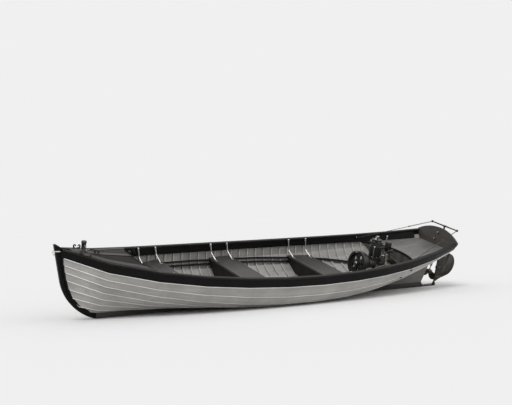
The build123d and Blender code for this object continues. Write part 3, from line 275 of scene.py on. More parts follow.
@dataclass(frozen=True)
class Timber:
    """Varnished or oiled wood with streaked grain.

    Attributes:
        name: The material's name.
        dark: Hex colour of the late wood.
        light: Hex colour between the streaks.
        grain: The way that the grain runs.
        tone: Factor on both colours.
        roughness: Roughness under the varnish.
        coat: Weight of the varnish.
        board: Width of the boards in millimetres, or 0 for one piece.
        across: The boat's axis that the boards are counted along, 0 to 2.
        seam_mm: Width of the seams between boards.
        seam_dark: Tone of those seams.
        gloss: Strength of the wood's own reflection.
        streak: Contrast of the streaks, 1 for full.
    """

    name: str
    dark: str
    light: str
    grain: Grain = Grain.FORE_AFT
    tone: float = 1.0
    roughness: float = 0.42
    coat: float = 0.25
    board: float = 0.0
    across: int = 1
    seam_mm: float = 2.2
    seam_dark: float = 0.3
    gloss: float = 0.5
    streak: float = 1.0

    def make(self, heel: float) -> bpy.types.Material:
        """Builds the material.

        Args:
            heel: The boat's lean, in radians.

        Returns:
            The material.
        """
        material = bpy.data.materials.new(self.name)
        material.use_nodes = True
        tree = material.node_tree
        shader = tree.nodes["Principled BSDF"]
        boat = boat_coordinates(tree, heel)
        shift = (sum(map(ord, self.name)) % 17, sum(map(ord, self.name)) % 11, 3)
        streaks = add(tree, "ShaderNodeMapping", {"Vector": boat, "Scale": self.grain.value, "Location": shift})
        fine = add(
            tree,
            "ShaderNodeTexNoise",
            {"Vector": streaks.outputs[0], "Scale": 2.6, "Detail": 5.0, "Roughness": 0.62, "Distortion": 0.35},
        )
        broad = add(tree, "ShaderNodeTexNoise", {"Vector": streaks.outputs[0], "Scale": 0.5, "Detail": 3.0})
        blotch = add(tree, "ShaderNodeTexNoise", {"Vector": boat, "Scale": 3.2, "Detail": 3.0})
        both = add(tree, "ShaderNodeMath", {0: fine.outputs[0], 1: broad.outputs[0]}, operation="ADD")
        spread = 0.28 / self.streak
        ramp = add(
            tree, "ShaderNodeMapRange", {"Value": both.outputs[0], "From Min": 1 - spread, "From Max": 1 + spread}
        )
        tint = mix(tree, ramp.outputs[0], colour(self.dark, self.tone), colour(self.light, self.tone))
        cloud = add(
            tree,
            "ShaderNodeMapRange",
            {"Value": blotch.outputs[0], "From Min": 0.3, "From Max": 0.7, "To Min": 0.86, "To Max": 1.12},
        )
        tone = cloud.outputs[0]
        height = ramp.outputs[0]
        if self.board:
            tone, height = self._boards(tree, boat, tone, height)
        shade = add(tree, "ShaderNodeVectorMath", {0: tint, "Scale": tone}, operation="SCALE")
        bump = add(tree, "ShaderNodeBump", {"Height": height, "Strength": 0.22, "Distance": 0.0009})
        rough = add(
            tree,
            "ShaderNodeMapRange",
            {"Value": fine.outputs[0], "To Min": self.roughness - 0.08, "To Max": self.roughness + 0.1},
        )
        tree.links.new(shade.outputs[0], shader.inputs["Base Color"])
        tree.links.new(bump.outputs[0], shader.inputs["Normal"])
        tree.links.new(rough.outputs[0], shader.inputs["Roughness"])
        shader.inputs["Coat Weight"].default_value = self.coat
        shader.inputs["Coat Roughness"].default_value = 0.16
        shader.inputs["Specular IOR Level"].default_value = self.gloss
        return material

    def _boards(
        self,
        tree: bpy.types.NodeTree,
        boat: bpy.types.NodeSocket,
        tone: bpy.types.NodeSocket,
        height: bpy.types.NodeSocket,
    ) -> tuple[bpy.types.NodeSocket, bpy.types.NodeSocket]:
        """Adds seams between boards and a shade of its own to each.

        Args:
            tree: The node tree.
            boat: The upright boat's coordinates.
            tone: The tone so far.
            height: The relief so far.

        Returns:
            The new tone and relief.
        """
        split = add(tree, "ShaderNodeSeparateXYZ", {0: boat})
        at = split.outputs[self.across]
        width = self.board * MM
        reach = add(tree, "ShaderNodeMath", {0: at, 1: width / 2}, operation="PINGPONG")
        seam = add(
            tree,
            "ShaderNodeMapRange",
            {"Value": reach.outputs[0], "From Min": self.seam_mm * MM * 0.3, "From Max": self.seam_mm * MM},
        )
        count = add(tree, "ShaderNodeMath", {0: at, 1: width}, operation="DIVIDE")
        whole = add(tree, "ShaderNodeMath", {0: count.outputs[0]}, operation="FLOOR")
        pick = add(tree, "ShaderNodeTexWhiteNoise", {"W": whole.outputs[0]}, noise_dimensions="1D")
        share = add(tree, "ShaderNodeMapRange", {"Value": pick.outputs[0], "To Min": 0.84, "To Max": 1.14})
        line = add(tree, "ShaderNodeMapRange", {"Value": seam.outputs[0], "To Min": self.seam_dark, "To Max": 1.0})
        one = add(tree, "ShaderNodeMath", {0: tone, 1: share.outputs[0]}, operation="MULTIPLY")
        two = add(tree, "ShaderNodeMath", {0: one.outputs[0], 1: line.outputs[0]}, operation="MULTIPLY")
        relief = add(tree, "ShaderNodeMath", {0: height, 1: seam.outputs[0]}, operation="MULTIPLY")
        return two.outputs[0], relief.outputs[0]


@dataclass(frozen=True)
class Metal:
    """Bare, plated or painted metal with the marks of casting, turning or a brush.

    Attributes:
        name: The material's name.
        low: Hex colour of the duller patches.
        high: Hex colour of the cleaner patches.
        metallic: 1 for bare metal and 0 for paint.
        roughness: Middle roughness.
        grit_mm: Size of the surface's marks in millimetres.
        relief: Strength of the marks.
    """

    name: str
    low: str
    high: str
    metallic: float = 1.0
    roughness: float = 0.3
    grit_mm: float = 6.0
    relief: float = 0.15

    def make(self, heel: float) -> bpy.types.Material:
        """Builds the material.

        Args:
            heel: The boat's lean, in radians.

        Returns:
            The material.
        """
        material = bpy.data.materials.new(self.name)
        material.use_nodes = True
        tree = material.node_tree
        shader = tree.nodes["Principled BSDF"]
        boat = boat_coordinates(tree, heel)
        grit = add(tree, "ShaderNodeTexNoise", {"Vector": boat, "Scale": 1 / (self.grit_mm * MM), "Detail": 3.0})
        patch = add(tree, "ShaderNodeTexNoise", {"Vector": boat, "Scale": 1 / (12 * self.grit_mm * MM), "Detail": 4.0})
        ramp = add(tree, "ShaderNodeMapRange", {"Value": patch.outputs[0], "From Min": 0.35, "From Max": 0.65})
        tint = mix(tree, ramp.outputs[0], colour(self.low), colour(self.high))
        rough = add(
            tree,
            "ShaderNodeMapRange",
            {"Value": patch.outputs[0], "To Min": self.roughness + 0.12, "To Max": self.roughness - 0.08},
        )
        bump = add(
            tree, "ShaderNodeBump", {"Height": grit.outputs[0], "Strength": self.relief, "Distance": 0.0006}
        )
        tree.links.new(tint, shader.inputs["Base Color"])
        tree.links.new(rough.outputs[0], shader.inputs["Roughness"])
        tree.links.new(bump.outputs[0], shader.inputs["Normal"])
        shader.inputs["Metallic"].default_value = self.metallic
        return material


@dataclass(frozen=True)
class LaidRope:
    """Pale hemp line, whose strands show as slanting bands.

    Attributes:
        name: The material's name.
        low: Hex colour between the strands.
        high: Hex colour on the strands.
        lay_mm: Distance between bands, drawn as coarse as it needs to show.
    """

    name: str
    low: str
    high: str
    lay_mm: float = 9.0

    def make(self, heel: float) -> bpy.types.Material:
        """Builds the material.

        Args:
            heel: The boat's lean, in radians.

        Returns:
            The material.
        """
        material = bpy.data.materials.new(self.name)
        material.use_nodes = True
        tree = material.node_tree
        shader = tree.nodes["Principled BSDF"]
        boat = boat_coordinates(tree, heel)
        bands = add(
            tree,
            "ShaderNodeTexWave",
            {"Vector": boat, "Scale": 0.314 / (self.lay_mm * MM) / 2, "Distortion": 1.5, "Detail": 1.0},
            bands_direction="DIAGONAL",
        )
        tint = mix(tree, bands.outputs[1], colour(self.low), colour(self.high))
        bump = add(tree, "ShaderNodeBump", {"Height": bands.outputs[1], "Strength": 0.4, "Distance": 0.001})
        tree.links.new(tint, shader.inputs["Base Color"])
        tree.links.new(bump.outputs[0], shader.inputs["Normal"])
        shader.inputs["Roughness"].default_value = 0.85
        return material


Finish = Timber | Metal | LaidRope

# Cedar planks under clear varnish: a pale even timber, faintly streaked along the plank
PLANKING = Timber("cedar_planking", "918f8c", "aba9a5", roughness=0.5, coat=0.06, gloss=0.35, streak=0.7)
# Pale strip along the lower edge of each lap, a painted highlight where the edge catches the light
LAP_HIGHLIGHT = Timber("worn_lap_edge", "e4e2de", "f0eeea", roughness=0.7, coat=0.0, gloss=0.3)
# Mahogany under dark varnish, nearly black, with a soft gloss
DARK_WOOD = Timber("dark_varnished_mahogany", "050505", "0d0c0c", roughness=0.5, coat=0.0, gloss=0.12)
# Mahogany of the rails, painted a little paler than the strake below to stand in for the light falling on their tops
LIT_RAIL_WOOD = Timber("rubbed_rail_mahogany", "0f0e0d", "262422", roughness=0.5, coat=0.0, gloss=0.16)
# Turned post, polished so that it takes a highlight down its middle
POST_WOOD = Timber("polished_post", "100f0e", "201e1c", Grain.UPRIGHT, roughness=0.22, coat=0.25, gloss=0.5)
# Oak of the keel, worn and dull
KEEL_OAK = Timber("oiled_keel_oak", "3c3a38", "52504d", roughness=0.55, coat=0.0, gloss=0.2)
# Deadwood and sternpost, varnished with the planks but a little darker
DEADWOOD = Timber("cedar_deadwood", "63615e", "7b7975", roughness=0.5, coat=0.06, gloss=0.35, streak=0.8)
# Steamed ash ribs and floors, as pale as the planks inside
RIBBING = Timber("steamed_ash", "9a9895", "b8b6b2", roughness=0.55, coat=0.0, gloss=0.3, streak=0.8)
# Mahogany seats, brown and low in tone, with the grain across the boat
SEATING = Timber("mahogany_seat", "2f2d2c", "464442", Grain.ATHWART, roughness=0.42, coat=0.08, gloss=0.3)
# Foredeck laid in narrow mahogany planks
DECKING = Timber("mahogany_foredeck", "1f1d1c", "302e2c", board=46, roughness=0.6, coat=0.0, gloss=0.1)
# Covering boards round the foredeck, paler than its planks
MARGIN = Timber("mahogany_margin", "434140", "575553", roughness=0.55, coat=0.0, gloss=0.15)
# Afterdeck laid in lighter planks with dark seams
AFT_DECKING = Timber("cedar_afterdeck", "5c5a57", "787673", board=58, roughness=0.45, coat=0.1, gloss=0.4)
# Bulkhead under the afterdeck, of upright boards
BULKHEAD = Timber("cedar_bulkhead", "43413f", "5e5c59", Grain.UPRIGHT, board=82, roughness=0.5, coat=0.05, gloss=0.35)
# Dark boards under the seats
PANELLING = Timber("stained_panel", "151413", "242220", Grain.UPRIGHT, board=74, roughness=0.6, coat=0.0, gloss=0.2)
# Rudder and transom boards, with open grain that shows in the light
TRANSOM_WOOD = Timber("mahogany_transom", "2c2926", "45413c", Grain.ATHWART, roughness=0.45, coat=0.08, gloss=0.35)
RUDDER_WOOD = Timber("mahogany_rudder", "34312d", "504b46", Grain.UPRIGHT, roughness=0.5, coat=0.05, gloss=0.35)
# Nickel-plated brass, polished bright but handled
NICKEL = Metal("nickel_plate", "c6c3bd", "e4e1db", roughness=0.34, grit_mm=9, relief=0.05)
# Cast bronze, brushed and dulled by weather
BRONZE = Metal("cast_bronze", "9b968c", "c8c3b8", roughness=0.36, grit_mm=5, relief=0.2)
# Bronze that has gone brown, for fittings that show dark
DARK_BRONZE = Metal("browned_bronze", "2e2b27", "57524a", roughness=0.42, grit_mm=5, relief=0.2)
# Cast iron under black enamel, with the sand's grain showing through
IRON = Metal("enamelled_iron", "0e0e0e", "1d1d1d", metallic=0.0, roughness=0.38, grit_mm=3, relief=0.35)
# Machined steel, oiled
STEEL = Metal("oiled_steel", "77746f", "aaa7a1", roughness=0.3, grit_mm=4, relief=0.1)
# Copper rivets, dulled to the tone of the planks
RIVET = Metal("dulled_copper", "5c5750", "7c766d", metallic=0.8, roughness=0.45, grit_mm=4, relief=0.1)
# Glazed porcelain of the sparking plug
PORCELAIN = Metal("glazed_porcelain", "cfccc6", "dedbd5", metallic=0.0, roughness=0.2, grit_mm=8, relief=0.02)
# Hemp line, tarred dark, whose lay shows as slanting bands
ROPE = LaidRope("hemp_line", "33312f", "4c4a46")


@dataclass
class Bench:
    """Turns finished shapes into pieces of the boat.

    Attributes:
        axes: The boat's axes.
        nodes: The frame's objects by node name.
    """

    axes: BoatAxes
    nodes: dict[str, bpy.types.Object]

    def __post_init__(self) -> None:
        """Starts with no finishes made."""
        self._made: dict[str, bpy.types.Material] = {}

    def finish(self, finish: Finish) -> bpy.types.Material:
        """The material of a finish, made once."""
        if finish.name not in self._made:
            self._made[finish.name] = finish.make(self.axes.heel)
        return self._made[finish.name]

    def dress(self, node: str, finish: Finish, ease: float = 0.0) -> None:
        """Gives a frame node its finish, and eases its edges.

        Args:
            node: The node's name.
            finish: The finish.
            ease: Width of the eased edges in millimetres, or 0 for none.
        """
        if node not in self.nodes:
            LOG.warning("no node %s", node)
            return
        piece = self.nodes[node]
        piece.data.materials.clear()
        piece.data.materials.append(self.finish(finish))
        if ease:
            weld = piece.modifiers.new("weld", "WELD")
            weld.merge_threshold = 0.00002
            bevel = piece.modifiers.new("ease", "BEVEL")
            bevel.width = ease * MM
            bevel.segments = 2
            bevel.limit_method = "ANGLE"
            bevel.angle_limit = math.radians(38)
            bevel.use_clamp_overlap = True
        LOG.info("dressed %s as %s", node, finish.name)

    def put(
        self,
        shape: bmesh.types.BMesh,
        name: str,
        body: str,
        finish: Finish,
        stands_for: Sequence[str] = (),
        smooth: float = 35.0,
        ride: bool = True,
    ) -> bpy.types.Object:
        """Makes a piece from a shape drawn in the boat's axes.

        Args:
            shape: The shape, which is freed.
            name: The piece's name.
            body: The body that it rides on.
            finish: Its finish.
            stands_for: Frame nodes that it stands for.
            smooth: Angle in degrees under which faces are shaded smooth.
            ride: Whether it is set to ride here.

        Returns:
            The piece's object.
        """
        bmesh.ops.remove_doubles(shape, verts=shape.verts, dist=0.01)
        bmesh.ops.recalc_face_normals(shape, faces=shape.faces)
        mesh = bpy.data.meshes.new(name)
        shape.to_mesh(mesh)
        shape.free()
        mesh.transform(self.axes.matrix)
        mesh.shade_smooth()
        mesh.set_sharp_from_angle(angle=math.radians(smooth))
        for polygon in mesh.polygons:
            polygon.use_smooth = len(polygon.vertices) < 5
        mesh.materials.append(self.finish(finish))
        piece = bpy.data.objects.new(name, mesh)
        bpy.context.scene.collection.objects.link(piece)
        if ride:
            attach(piece, body)
        if stands_for:
            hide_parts(*[node for node in stands_for if node in self.nodes])
        LOG.info("made %s, %d faces", name, len(mesh.polygons))
        return piece


def frame_at(origin: Point, along: Point, hint: Point = (0, 0, 1)) -> Matrix:
    """A place whose z axis runs along a direction.

    Args:
        origin: The place's origin.
        along: The direction of its z axis.
        hint: A direction that its y axis leans to.

    Returns:
        The place as a matrix.
    """
    z = Vector(along).normalized()
    x = Vector(hint).cross(z)
    if x.length < 1e-6:
        x = Vector((1, 0, 0)).cross(z)
    x.normalize()
    y = z.cross(x)
    place = Matrix((x, y, z)).transposed().to_4x4()
    place.translation = Vector(origin)
    return place


def turned(shape: bmesh.types.BMesh, profile: Sequence[tuple[float, float]], place: Matrix, steps: int = 28) -> None:
    """Spins a profile of radius and height about a place's z axis.

    Args:
        shape: The shape to add to.
        profile: Pairs of radius and height.
        place: The place.
        steps: Number of steps round the axis.
    """
    points = [shape.verts.new(place @ Vector((radius, 0, height))) for radius, height in profile]
    lines = [shape.edges.new(pair) for pair in zip(points, points[1:])]
    bmesh.ops.spin(
        shape,
        geom=points + lines,
        cent=place.translation,
        axis=place.to_3x3() @ Vector((0, 0, 1)),
        angle=math.tau,
        steps=steps,
        use_merge=True,
        use_duplicate=False,
    )


def block(shape: bmesh.types.BMesh, size: Point, place: Matrix, ease: float = 0.0, segments: int = 2) -> None:
    """Adds a block with eased edges, centred on a place.

    Args:
        shape: The shape to add to.
        size: Its three sizes.
        place: The place.
        ease: Width of the eased edges.
        segments: Steps across each eased edge.
    """
    made = bmesh.ops.create_cube(shape, size=1.0, matrix=place @ Matrix.Diagonal((*size, 1)))
    if ease:
        edges = list({edge for vert in made["verts"] for edge in vert.link_edges})
        bmesh.ops.bevel(
            shape, geom=edges, offset=ease, segments=segments, profile=0.5, affect="EDGES", material=-1
        )


def plate(
    shape: bmesh.types.BMesh,
    outline: Sequence[tuple[float, float]],
    thickness: float,
    place: Matrix,
    ease: float = 0.0,
) -> None:
    """Adds a plate with an outline in a place's plane, thick along its z axis and centred on it.

    Args:
        shape: The shape to add to.
        outline: Pairs of x and y.
        thickness: Its thickness.
        place: The place.
        ease: Width of the eased edges.
    """
    down = place @ Matrix.Translation((0, 0, -thickness / 2))
    face = shape.faces.new([shape.verts.new(down @ Vector((x, y, 0))) for x, y in outline])
    base = face.copy()
    grown = bmesh.ops.extrude_face_region(shape, geom=[face])
    top = [item for item in grown["geom"] if isinstance(item, bmesh.types.BMVert)]
    lift = (place.to_3x3() @ Vector((0, 0, 1))).normalized() * thickness
    bmesh.ops.translate(shape, verts=top, vec=lift)
    if ease:
        points = set(top) | set(base.verts)
        bmesh.ops.remove_doubles(shape, verts=list(points), dist=0.001)
        rims = {edge for face in shape.faces for edge in face.edges if len(face.verts) == len(outline)}
        rims = [edge for edge in rims if edge.is_valid and edge.calc_face_angle(0) > 1.0]
        bmesh.ops.bevel(shape, geom=rims, offset=ease, segments=2, profile=0.5, affect="EDGES", material=-1)


def rod(
    shape: bmesh.types.BMesh,
    points: Sequence[Point],
    radius: float,
    smooth: bool = True,
    closed: bool = False,
    sides: int = 3,
    taper: Sequence[float] | None = None,
) -> None:
    """Adds a round rod or pipe along a line.

    Args:
        shape: The shape to add to.
        points: The line's points.
        radius: The rod's radius.
        smooth: Whether its bends are rounded.
        closed: Whether its ends meet.
        sides: Steps in a quarter of its roundness.
        taper: Factors on the radius at each point.
    """
    curve = bpy.data.curves.new("rod", "CURVE")
    curve.dimensions = "3D"
    curve.bevel_depth = radius
    curve.bevel_resolution = sides - 1
    curve.use_fill_caps = not closed
    curve.resolution_u = 5
    spline = curve.splines.new("NURBS" if smooth else "POLY")
    spline.points.add(len(points) - 1)
    for index, point in enumerate(points):
        spline.points[index].co = (*point, 1)
        spline.points[index].radius = taper[index] if taper else 1.0
    spline.order_u = 3
    spline.use_endpoint_u = not closed
    spline.use_cyclic_u = closed
    holder = bpy.data.objects.new("rod", curve)
    mesh = bpy.data.meshes.new_from_object(holder)
    shape.from_mesh(mesh)
    bpy.data.objects.remove(holder)
    bpy.data.curves.remove(curve)
    bpy.data.meshes.remove(mesh)


def bolt(shape: bmesh.types.BMesh, place: Matrix, radius: float, height: float, sides: int = 6) -> None:
    """Adds a bolt's head or nut that stands on a place."""
    lift = place @ Matrix.Translation((0, 0, height / 2))
    bmesh.ops.create_cone(
        shape, cap_ends=True, segments=sides, radius1=radius, radius2=radius * 0.86, depth=height, matrix=lift
    )


def drum(shape: bmesh.types.BMesh, place: Matrix, radius: float, height: float, ease: float = 2.0) -> None:
    """Adds a round body with eased ends that stands on a place."""
    profile = [
        (0, 0),
        (radius - ease, 0),
        (radius - ease * 0.3, ease * 0.3),
        (radius, ease),
        (radius, height - ease),
        (radius - ease * 0.3, height - ease * 0.3),
        (radius - ease, height),
        (0, height),
    ]
    turned(shape, profile, place)


@dataclass
class Planking:
    """The clinker planks, the highlights painted along their laps, their rivets, and the rails.

    Attributes:
        tones: Shade of each strake, garboard first.
        edge: Radius of the pale strip painted along a lap's edge as a highlight.
        short: How far those painted highlights stop short of the stem.
        rib_first: The first rib's aft face.
        rib_pitch: Distance between ribs.
        rib_count: Number of ribs.
        rivet: Radius of a rivet's head.
    """

    tones: tuple[float, ...] = (0.96, 1.04, 0.97, 1.02, 0.94, 1.0, 0.97)
    edge: float = 3.4
    short: float = 26
    rib_first: float = 420
    rib_pitch: float = 125
    rib_count: int = 37
    rivet: float = 3.4

    def build(self, bench: Bench) -> None:
        """Dresses the planks and adds the rivets."""
        names = ["garboard"] + [f"strake_{k}" for k in range(2, STRAKES)]
        for name, tone in zip(names, self.tones):
            bench.dress(name, replace(PLANKING, name=f"cedar_planking_{name}", tone=tone))
        bench.dress("sheer_strake", DARK_WOOD)
        # The rails' paler tone is painted light for their lit tops
        bench.dress("rails", LIT_RAIL_WOOD, ease=3)
        bench.dress("inwales", DARK_WOOD)
        bench.dress("ribs", RIBBING)
        # Pale strips painted along the laps as highlights
        self.paint_lap_highlights(bench)
        self.stem_fillets(bench)
        self.rivets(bench)

    def stem_fillets(self, bench: Bench) -> None:
        """Runs a dark fillet down each side of the stem over the ends of the planks."""
        shape = bmesh.new()
        for side in (1, -1):
            points = [(x - 3, side * (RABBET_Y + 14), z) for x, z in STEM_LANDINGS]
            rod(shape, points, 11)
        bench.put(shape, "stem_fillets", "hull", DARK_WOOD)

    def paint_lap_highlights(self, bench: Bench) -> None:
        """Draws a pale strip along each plank's lower outer edge, a painted highlight where the lap's edge catches the
        light.
        """
        shape = bmesh.new()
        rows = [(row[0], seam_points(row)) for row in STATIONS]
        for seam in range(1, STRAKES):
            line = []
            for index, (x, points) in enumerate(rows):
                low, below = Vector(points[seam]), Vector(points[seam - 1])
                line.append(self._corner(x if index else (TRANSOM_CORNER_Z - low.y) * TRANSOM_RAKE, low, below, seam))
            x, z = STEM_LANDINGS[seam]
            end = self._corner(x, Vector((RABBET_Y, z)), Vector((RABBET_Y, STEM_LANDINGS[seam - 1][1])), seam)
            line.append(line[-1].lerp(end, 1 - self.short / (end - line[-1]).length))
            for side in (1, -1):
                rod(shape, [(p.x, side * p.y, p.z) for p in line], self.edge, smooth=False, sides=1)
        # The pale strips are painted highlights along the lap edges
        bench.put(shape, "lap_edge_highlights", "hull", LAP_HIGHLIGHT, smooth=60)

    def _corner(self, x: float, low: Vector, below: Vector, seam: int) -> Vector:
        """The lower outer corner of a plank at one section.

        Args:
            x: The section's place at this seam.
            low: The plank's own seam as y and z.
            below: The seam below it.
            seam: The seam's number.

        Returns:
            The corner in the boat's axes.
        """
        length = (low - below).length
        along = (low - below) / length
        out = Vector((along.y, -along.x))
        rise = PLANK + SEAM
        spot = low - along * LAP + out * (rise + (rise * LAP / length if seam > 1 else 0) + PLANK)
        return Vector((x, spot.x, spot.y))

    def rivets(self, bench: Bench) -> None:
        """Adds a row of rivets along each lap, at the ribs and half way between them."""
        lines = [(row[0], seam_points(row)) for row in STATIONS]
        shape = bmesh.new()
        count = 2 * self.rib_count - 1
        for step in range(count):
            x = self.rib_first + 8 + step * self.rib_pitch / 2
            points = []
            for seam in range(STRAKES + 1):
                y = between([(x0, seams[seam][0]) for x0, seams in lines], x)
                z = between([(x0, seams[seam][1]) for x0, seams in lines], x)
                points.append(Vector((y, z)))
            for seam in range(1, STRAKES):
                along = (points[seam] - points[seam - 1]).normalized()
                out = Vector((along.y, -along.x))
                spot = points[seam] - along * (LAP * 0.55) + out * (2 * PLANK + SEAM + 1.0)
                for side in (1, -1):
                    way = (0, side * out.x, out.y)
                    place = frame_at((x, side * spot.x, spot.y), way, (1, 0, 0))
                    bmesh.ops.create_cone(
                        shape,
                        cap_ends=True,
                        segments=6,
                        radius1=self.rivet,
                        radius2=self.rivet * 0.5,
                        depth=1.6,
                        matrix=place,
                    )
        bench.put(shape, "lap_rivets", "hull", RIVET, smooth=20)


@dataclass
class Backbone:
    """Keel, stem, sternpost and transom, with the band round the stem.

    Attributes:
        band_z: Height of the stem's band.
        band_width: Its width.
    """

    band_z: float = 772
    band_width: float = 11

    def build(self, bench: Bench) -> None:
        """Dresses the backbone and adds its metal bands."""
        for node in ("keel", "hog"):
            bench.dress(node, KEEL_OAK)
        for node in ("deadwood", "sternpost"):
            bench.dress(node, DEADWOOD)
        bench.dress("stem", DARK_WOOD, ease=3)
        bench.dress("transom", TRANSOM_WOOD, ease=3)
        bench.dress("skeg_shoe", DARK_BRONZE, ease=2)
        bench.dress("stern_bearing", DARK_BRONZE, ease=2)
        bench.dress("bow_ring", NICKEL)
        self.band(bench)
        self.transom_fittings(bench)

    def band(self, bench: Bench) -> None:
        """Wraps a flat metal band round the stem behind the ring."""
        shape = bmesh.new()
        side = [(5420, 37), (5448, 31), (5470, 25.5), (5505, 25.5)]
        inner = [(5502.5, 23), (5470, 23), (5448, 28.5), (5420, 34.5)]
        outline = side + [(x, -y) for x, y in reversed(side)] + [(x, -y) for x, y in reversed(inner)] + inner
        plate(shape, outline, self.band_width, Matrix.Translation((0, 0, self.band_z)))
        bench.put(shape, "stem_band", "hull", NICKEL)

    def transom_fittings(self, bench: Bench) -> None:
        """Adds the two small fittings on the transom's inner face."""
        dark, bright = bmesh.new(), bmesh.new()
        for z, y, radius in ((774, 14, 17), (681, -14, 13)):
            x = (TRANSOM_CORNER_Z - z) * TRANSOM_RAKE + TRANSOM_THICKNESS + 1
            place = frame_at((x, y, z), (1, 0, TRANSOM_RAKE))
            turned(dark, [(0, 0), (radius, 0), (radius, 4), (radius * 0.55, 8), (radius * 0.5, 22), (0, 22)], place)
            turned(bright, [(0, 22), (7, 22), (8, 26), (5, 31), (0, 32)], place, steps=16)
        bench.put(dark, "transom_sockets", "hull", DARK_BRONZE)
        bench.put(bright, "transom_pins", "hull", NICKEL)


@dataclass
class FittingOut:
    """Seats, floor, knees and panels.

    Attributes:
        thwarts: Aft edge, fore edge and top of each seat.
        inset: Distance of each knee from its seat's edge.
        head_forward: How far a knee's head stands forward of its place.
        foot_forward: How far its foot stands forward of it.
        reach: How far a knee reaches in from the rail.
    """

    thwarts: tuple[tuple[float, float, float], ...] = ((4029, 4345, 438), (2960, 3276, 383), (1741, 2072, 346))
    inset: float = 34
    head_forward: float = 35
    foot_forward: float = 12
    reach: float = 118

    def build(self, bench: Bench) -> None:
        """Dresses the inside of the boat."""
        for node in ("thwart_1", "thwart_2", "thwart_3"):
            bench.dress(node, SEATING, ease=3)
        for node in ("floorboards", "engine_bearers", "floor_bearers"):
            bench.dress(node, RIBBING)
        for node in ("risers", "lower_stringers"):
            bench.dress(node, DARK_WOOD)
        for node in ("panel_middle", "panel_aft"):
            bench.dress(node, PANELLING)
        bench.dress("thwart_knees", NICKEL)
        self.knee_palms(bench)

    def knee_palms(self, bench: Bench) -> None:
        """Adds the flattened, screwed ends of the knees."""
        palms, screws = bmesh.new(), bmesh.new()
        for aft, fore, top in self.thwarts:
            for x in (aft + self.inset, fore - self.inset):
                x_head, x_foot = x + self.head_forward, x + self.foot_forward
                rail_y, rail_z = min(rail_at(x_head)[0], rail_at(x_foot)[0]), rail_at(x_head)[1]
                y_head = rail_y - RAIL_WIDTH - 7.6
                for side in (1, -1):
                    foot = Vector((x_foot, side * (y_head - self.reach - 14), top + 2.4))
                    block(palms, (22, 50, 4), Matrix.Translation(foot), ease=1.2)
                    for dy in (-15, 12):
                        bolt(screws, Matrix.Translation(foot + Vector((0, dy, 2))), 3.6, 2, 8)
                    head = Vector((x_head, side * (rail_y - RAIL_WIDTH - 1.6), rail_z - 22))
                    block(palms, (20, 3, 34), Matrix.Translation(head), ease=1.0)
                    knob = Matrix.Translation((x_head, side * y_head, rail_z - 11))
                    bmesh.ops.create_uvsphere(palms, u_segments=14, v_segments=8, radius=11, matrix=knob)
        bench.put(palms, "knee_palms", "hull", NICKEL)
        bench.put(screws, "knee_screws", "hull", STEEL)


@dataclass
class Decks:
    """Foredeck and afterdeck with their covering boards and mouldings.

    Attributes:
        fore_to: The foredeck's fore end.
        margin: Width of the covering boards.
        bulkhead_foot: Height of the bulkhead's foot.
        arc_radius: Radius of the afterdeck's hollow edge.
        arc_x: The place of the middle of that arc's circle.
    """

    fore_to: float = 5335
    margin: float = 62
    bulkhead_foot: float = 352
    arc_radius: float = 804.2
    arc_x: float = 1512.2

    def build(self, bench: Bench) -> None:
        """Dresses the decks and adds their edges."""
        bench.dress("foredeck", DECKING)
        bench.dress("foredeck_beam", DARK_WOOD, ease=2)
        bench.dress("afterdeck", AFT_DECKING)
        bench.dress("afterdeck_bulkhead", BULKHEAD)
        self.margins(bench)
        self.mouldings(bench)

    def margins(self, bench: Bench) -> None:
        """Lays covering boards along the foredeck's sides and a king plank down its middle."""
        shape = bmesh.new()
        for board in (-1, 0, 1):
            made = bmesh.ops.create_grid(shape, x_segments=16, y_segments=4, size=0.5)
            for vert in made["verts"]:
                along, across = vert.co.x + 0.5, vert.co.y + 0.5
                x = y = 0.0
                for _ in range(6):
                    start_x = deck_edge_x(y) + 3
                    x = start_x + along * (self.fore_to - start_x)
                    half = rail_at(x)[0] - RAIL_WIDTH - 1.5
                    inner = max(half - self.margin, 0.35 * half)
                    y = board * (inner + (half - inner) * across) if board else (across - 0.5) * 70
                vert.co = Vector((x, y, deck_z(x, y / half) + 0.6))
        bmesh.ops.recalc_face_normals(shape, faces=shape.faces)
        for face in shape.faces:
            if face.normal.z < 0:
                face.normal_flip()
        bmesh.ops.solidify(shape, geom=shape.faces[:], thickness=-2.2)
        bench.put(shape, "foredeck_margins", "hull", MARGIN)
        nosing = bmesh.new()
        points = []
        for step in range(33):
            y = (DECK_EDGE_REACH - 3) * math.sin(math.radians(90 * (step / 16 - 1)))
            x = deck_edge_x(y)
            points.append((x - 2, y, deck_z(x, y / (rail_at(x)[0] - RAIL_WIDTH)) - 6))
        rod(nosing, points, 9)
        bench.put(nosing, "foredeck_nosing", "hull", DARK_WOOD)

    def mouldings(self, bench: Bench) -> None:
        """Runs dark mouldings round the hollow edge of the afterdeck and along its bulkhead's foot."""
        shape = bmesh.new()
        for radius, off, height, reach in ((15, -6, None, 528), (6, 5, self.bulkhead_foot + 14, 328)):
            points = []
            for step in range(25):
                y = reach * (step / 12 - 1)
                x = self.arc_x - math.sqrt((self.arc_radius - off) ** 2 - y * y)
                points.append((x, y, rail_at(x)[1] - 108 if height is None else height))
            rod(shape, points, radius)
        bench.put(shape, "afterdeck_mouldings", "hull", DARK_WOOD)


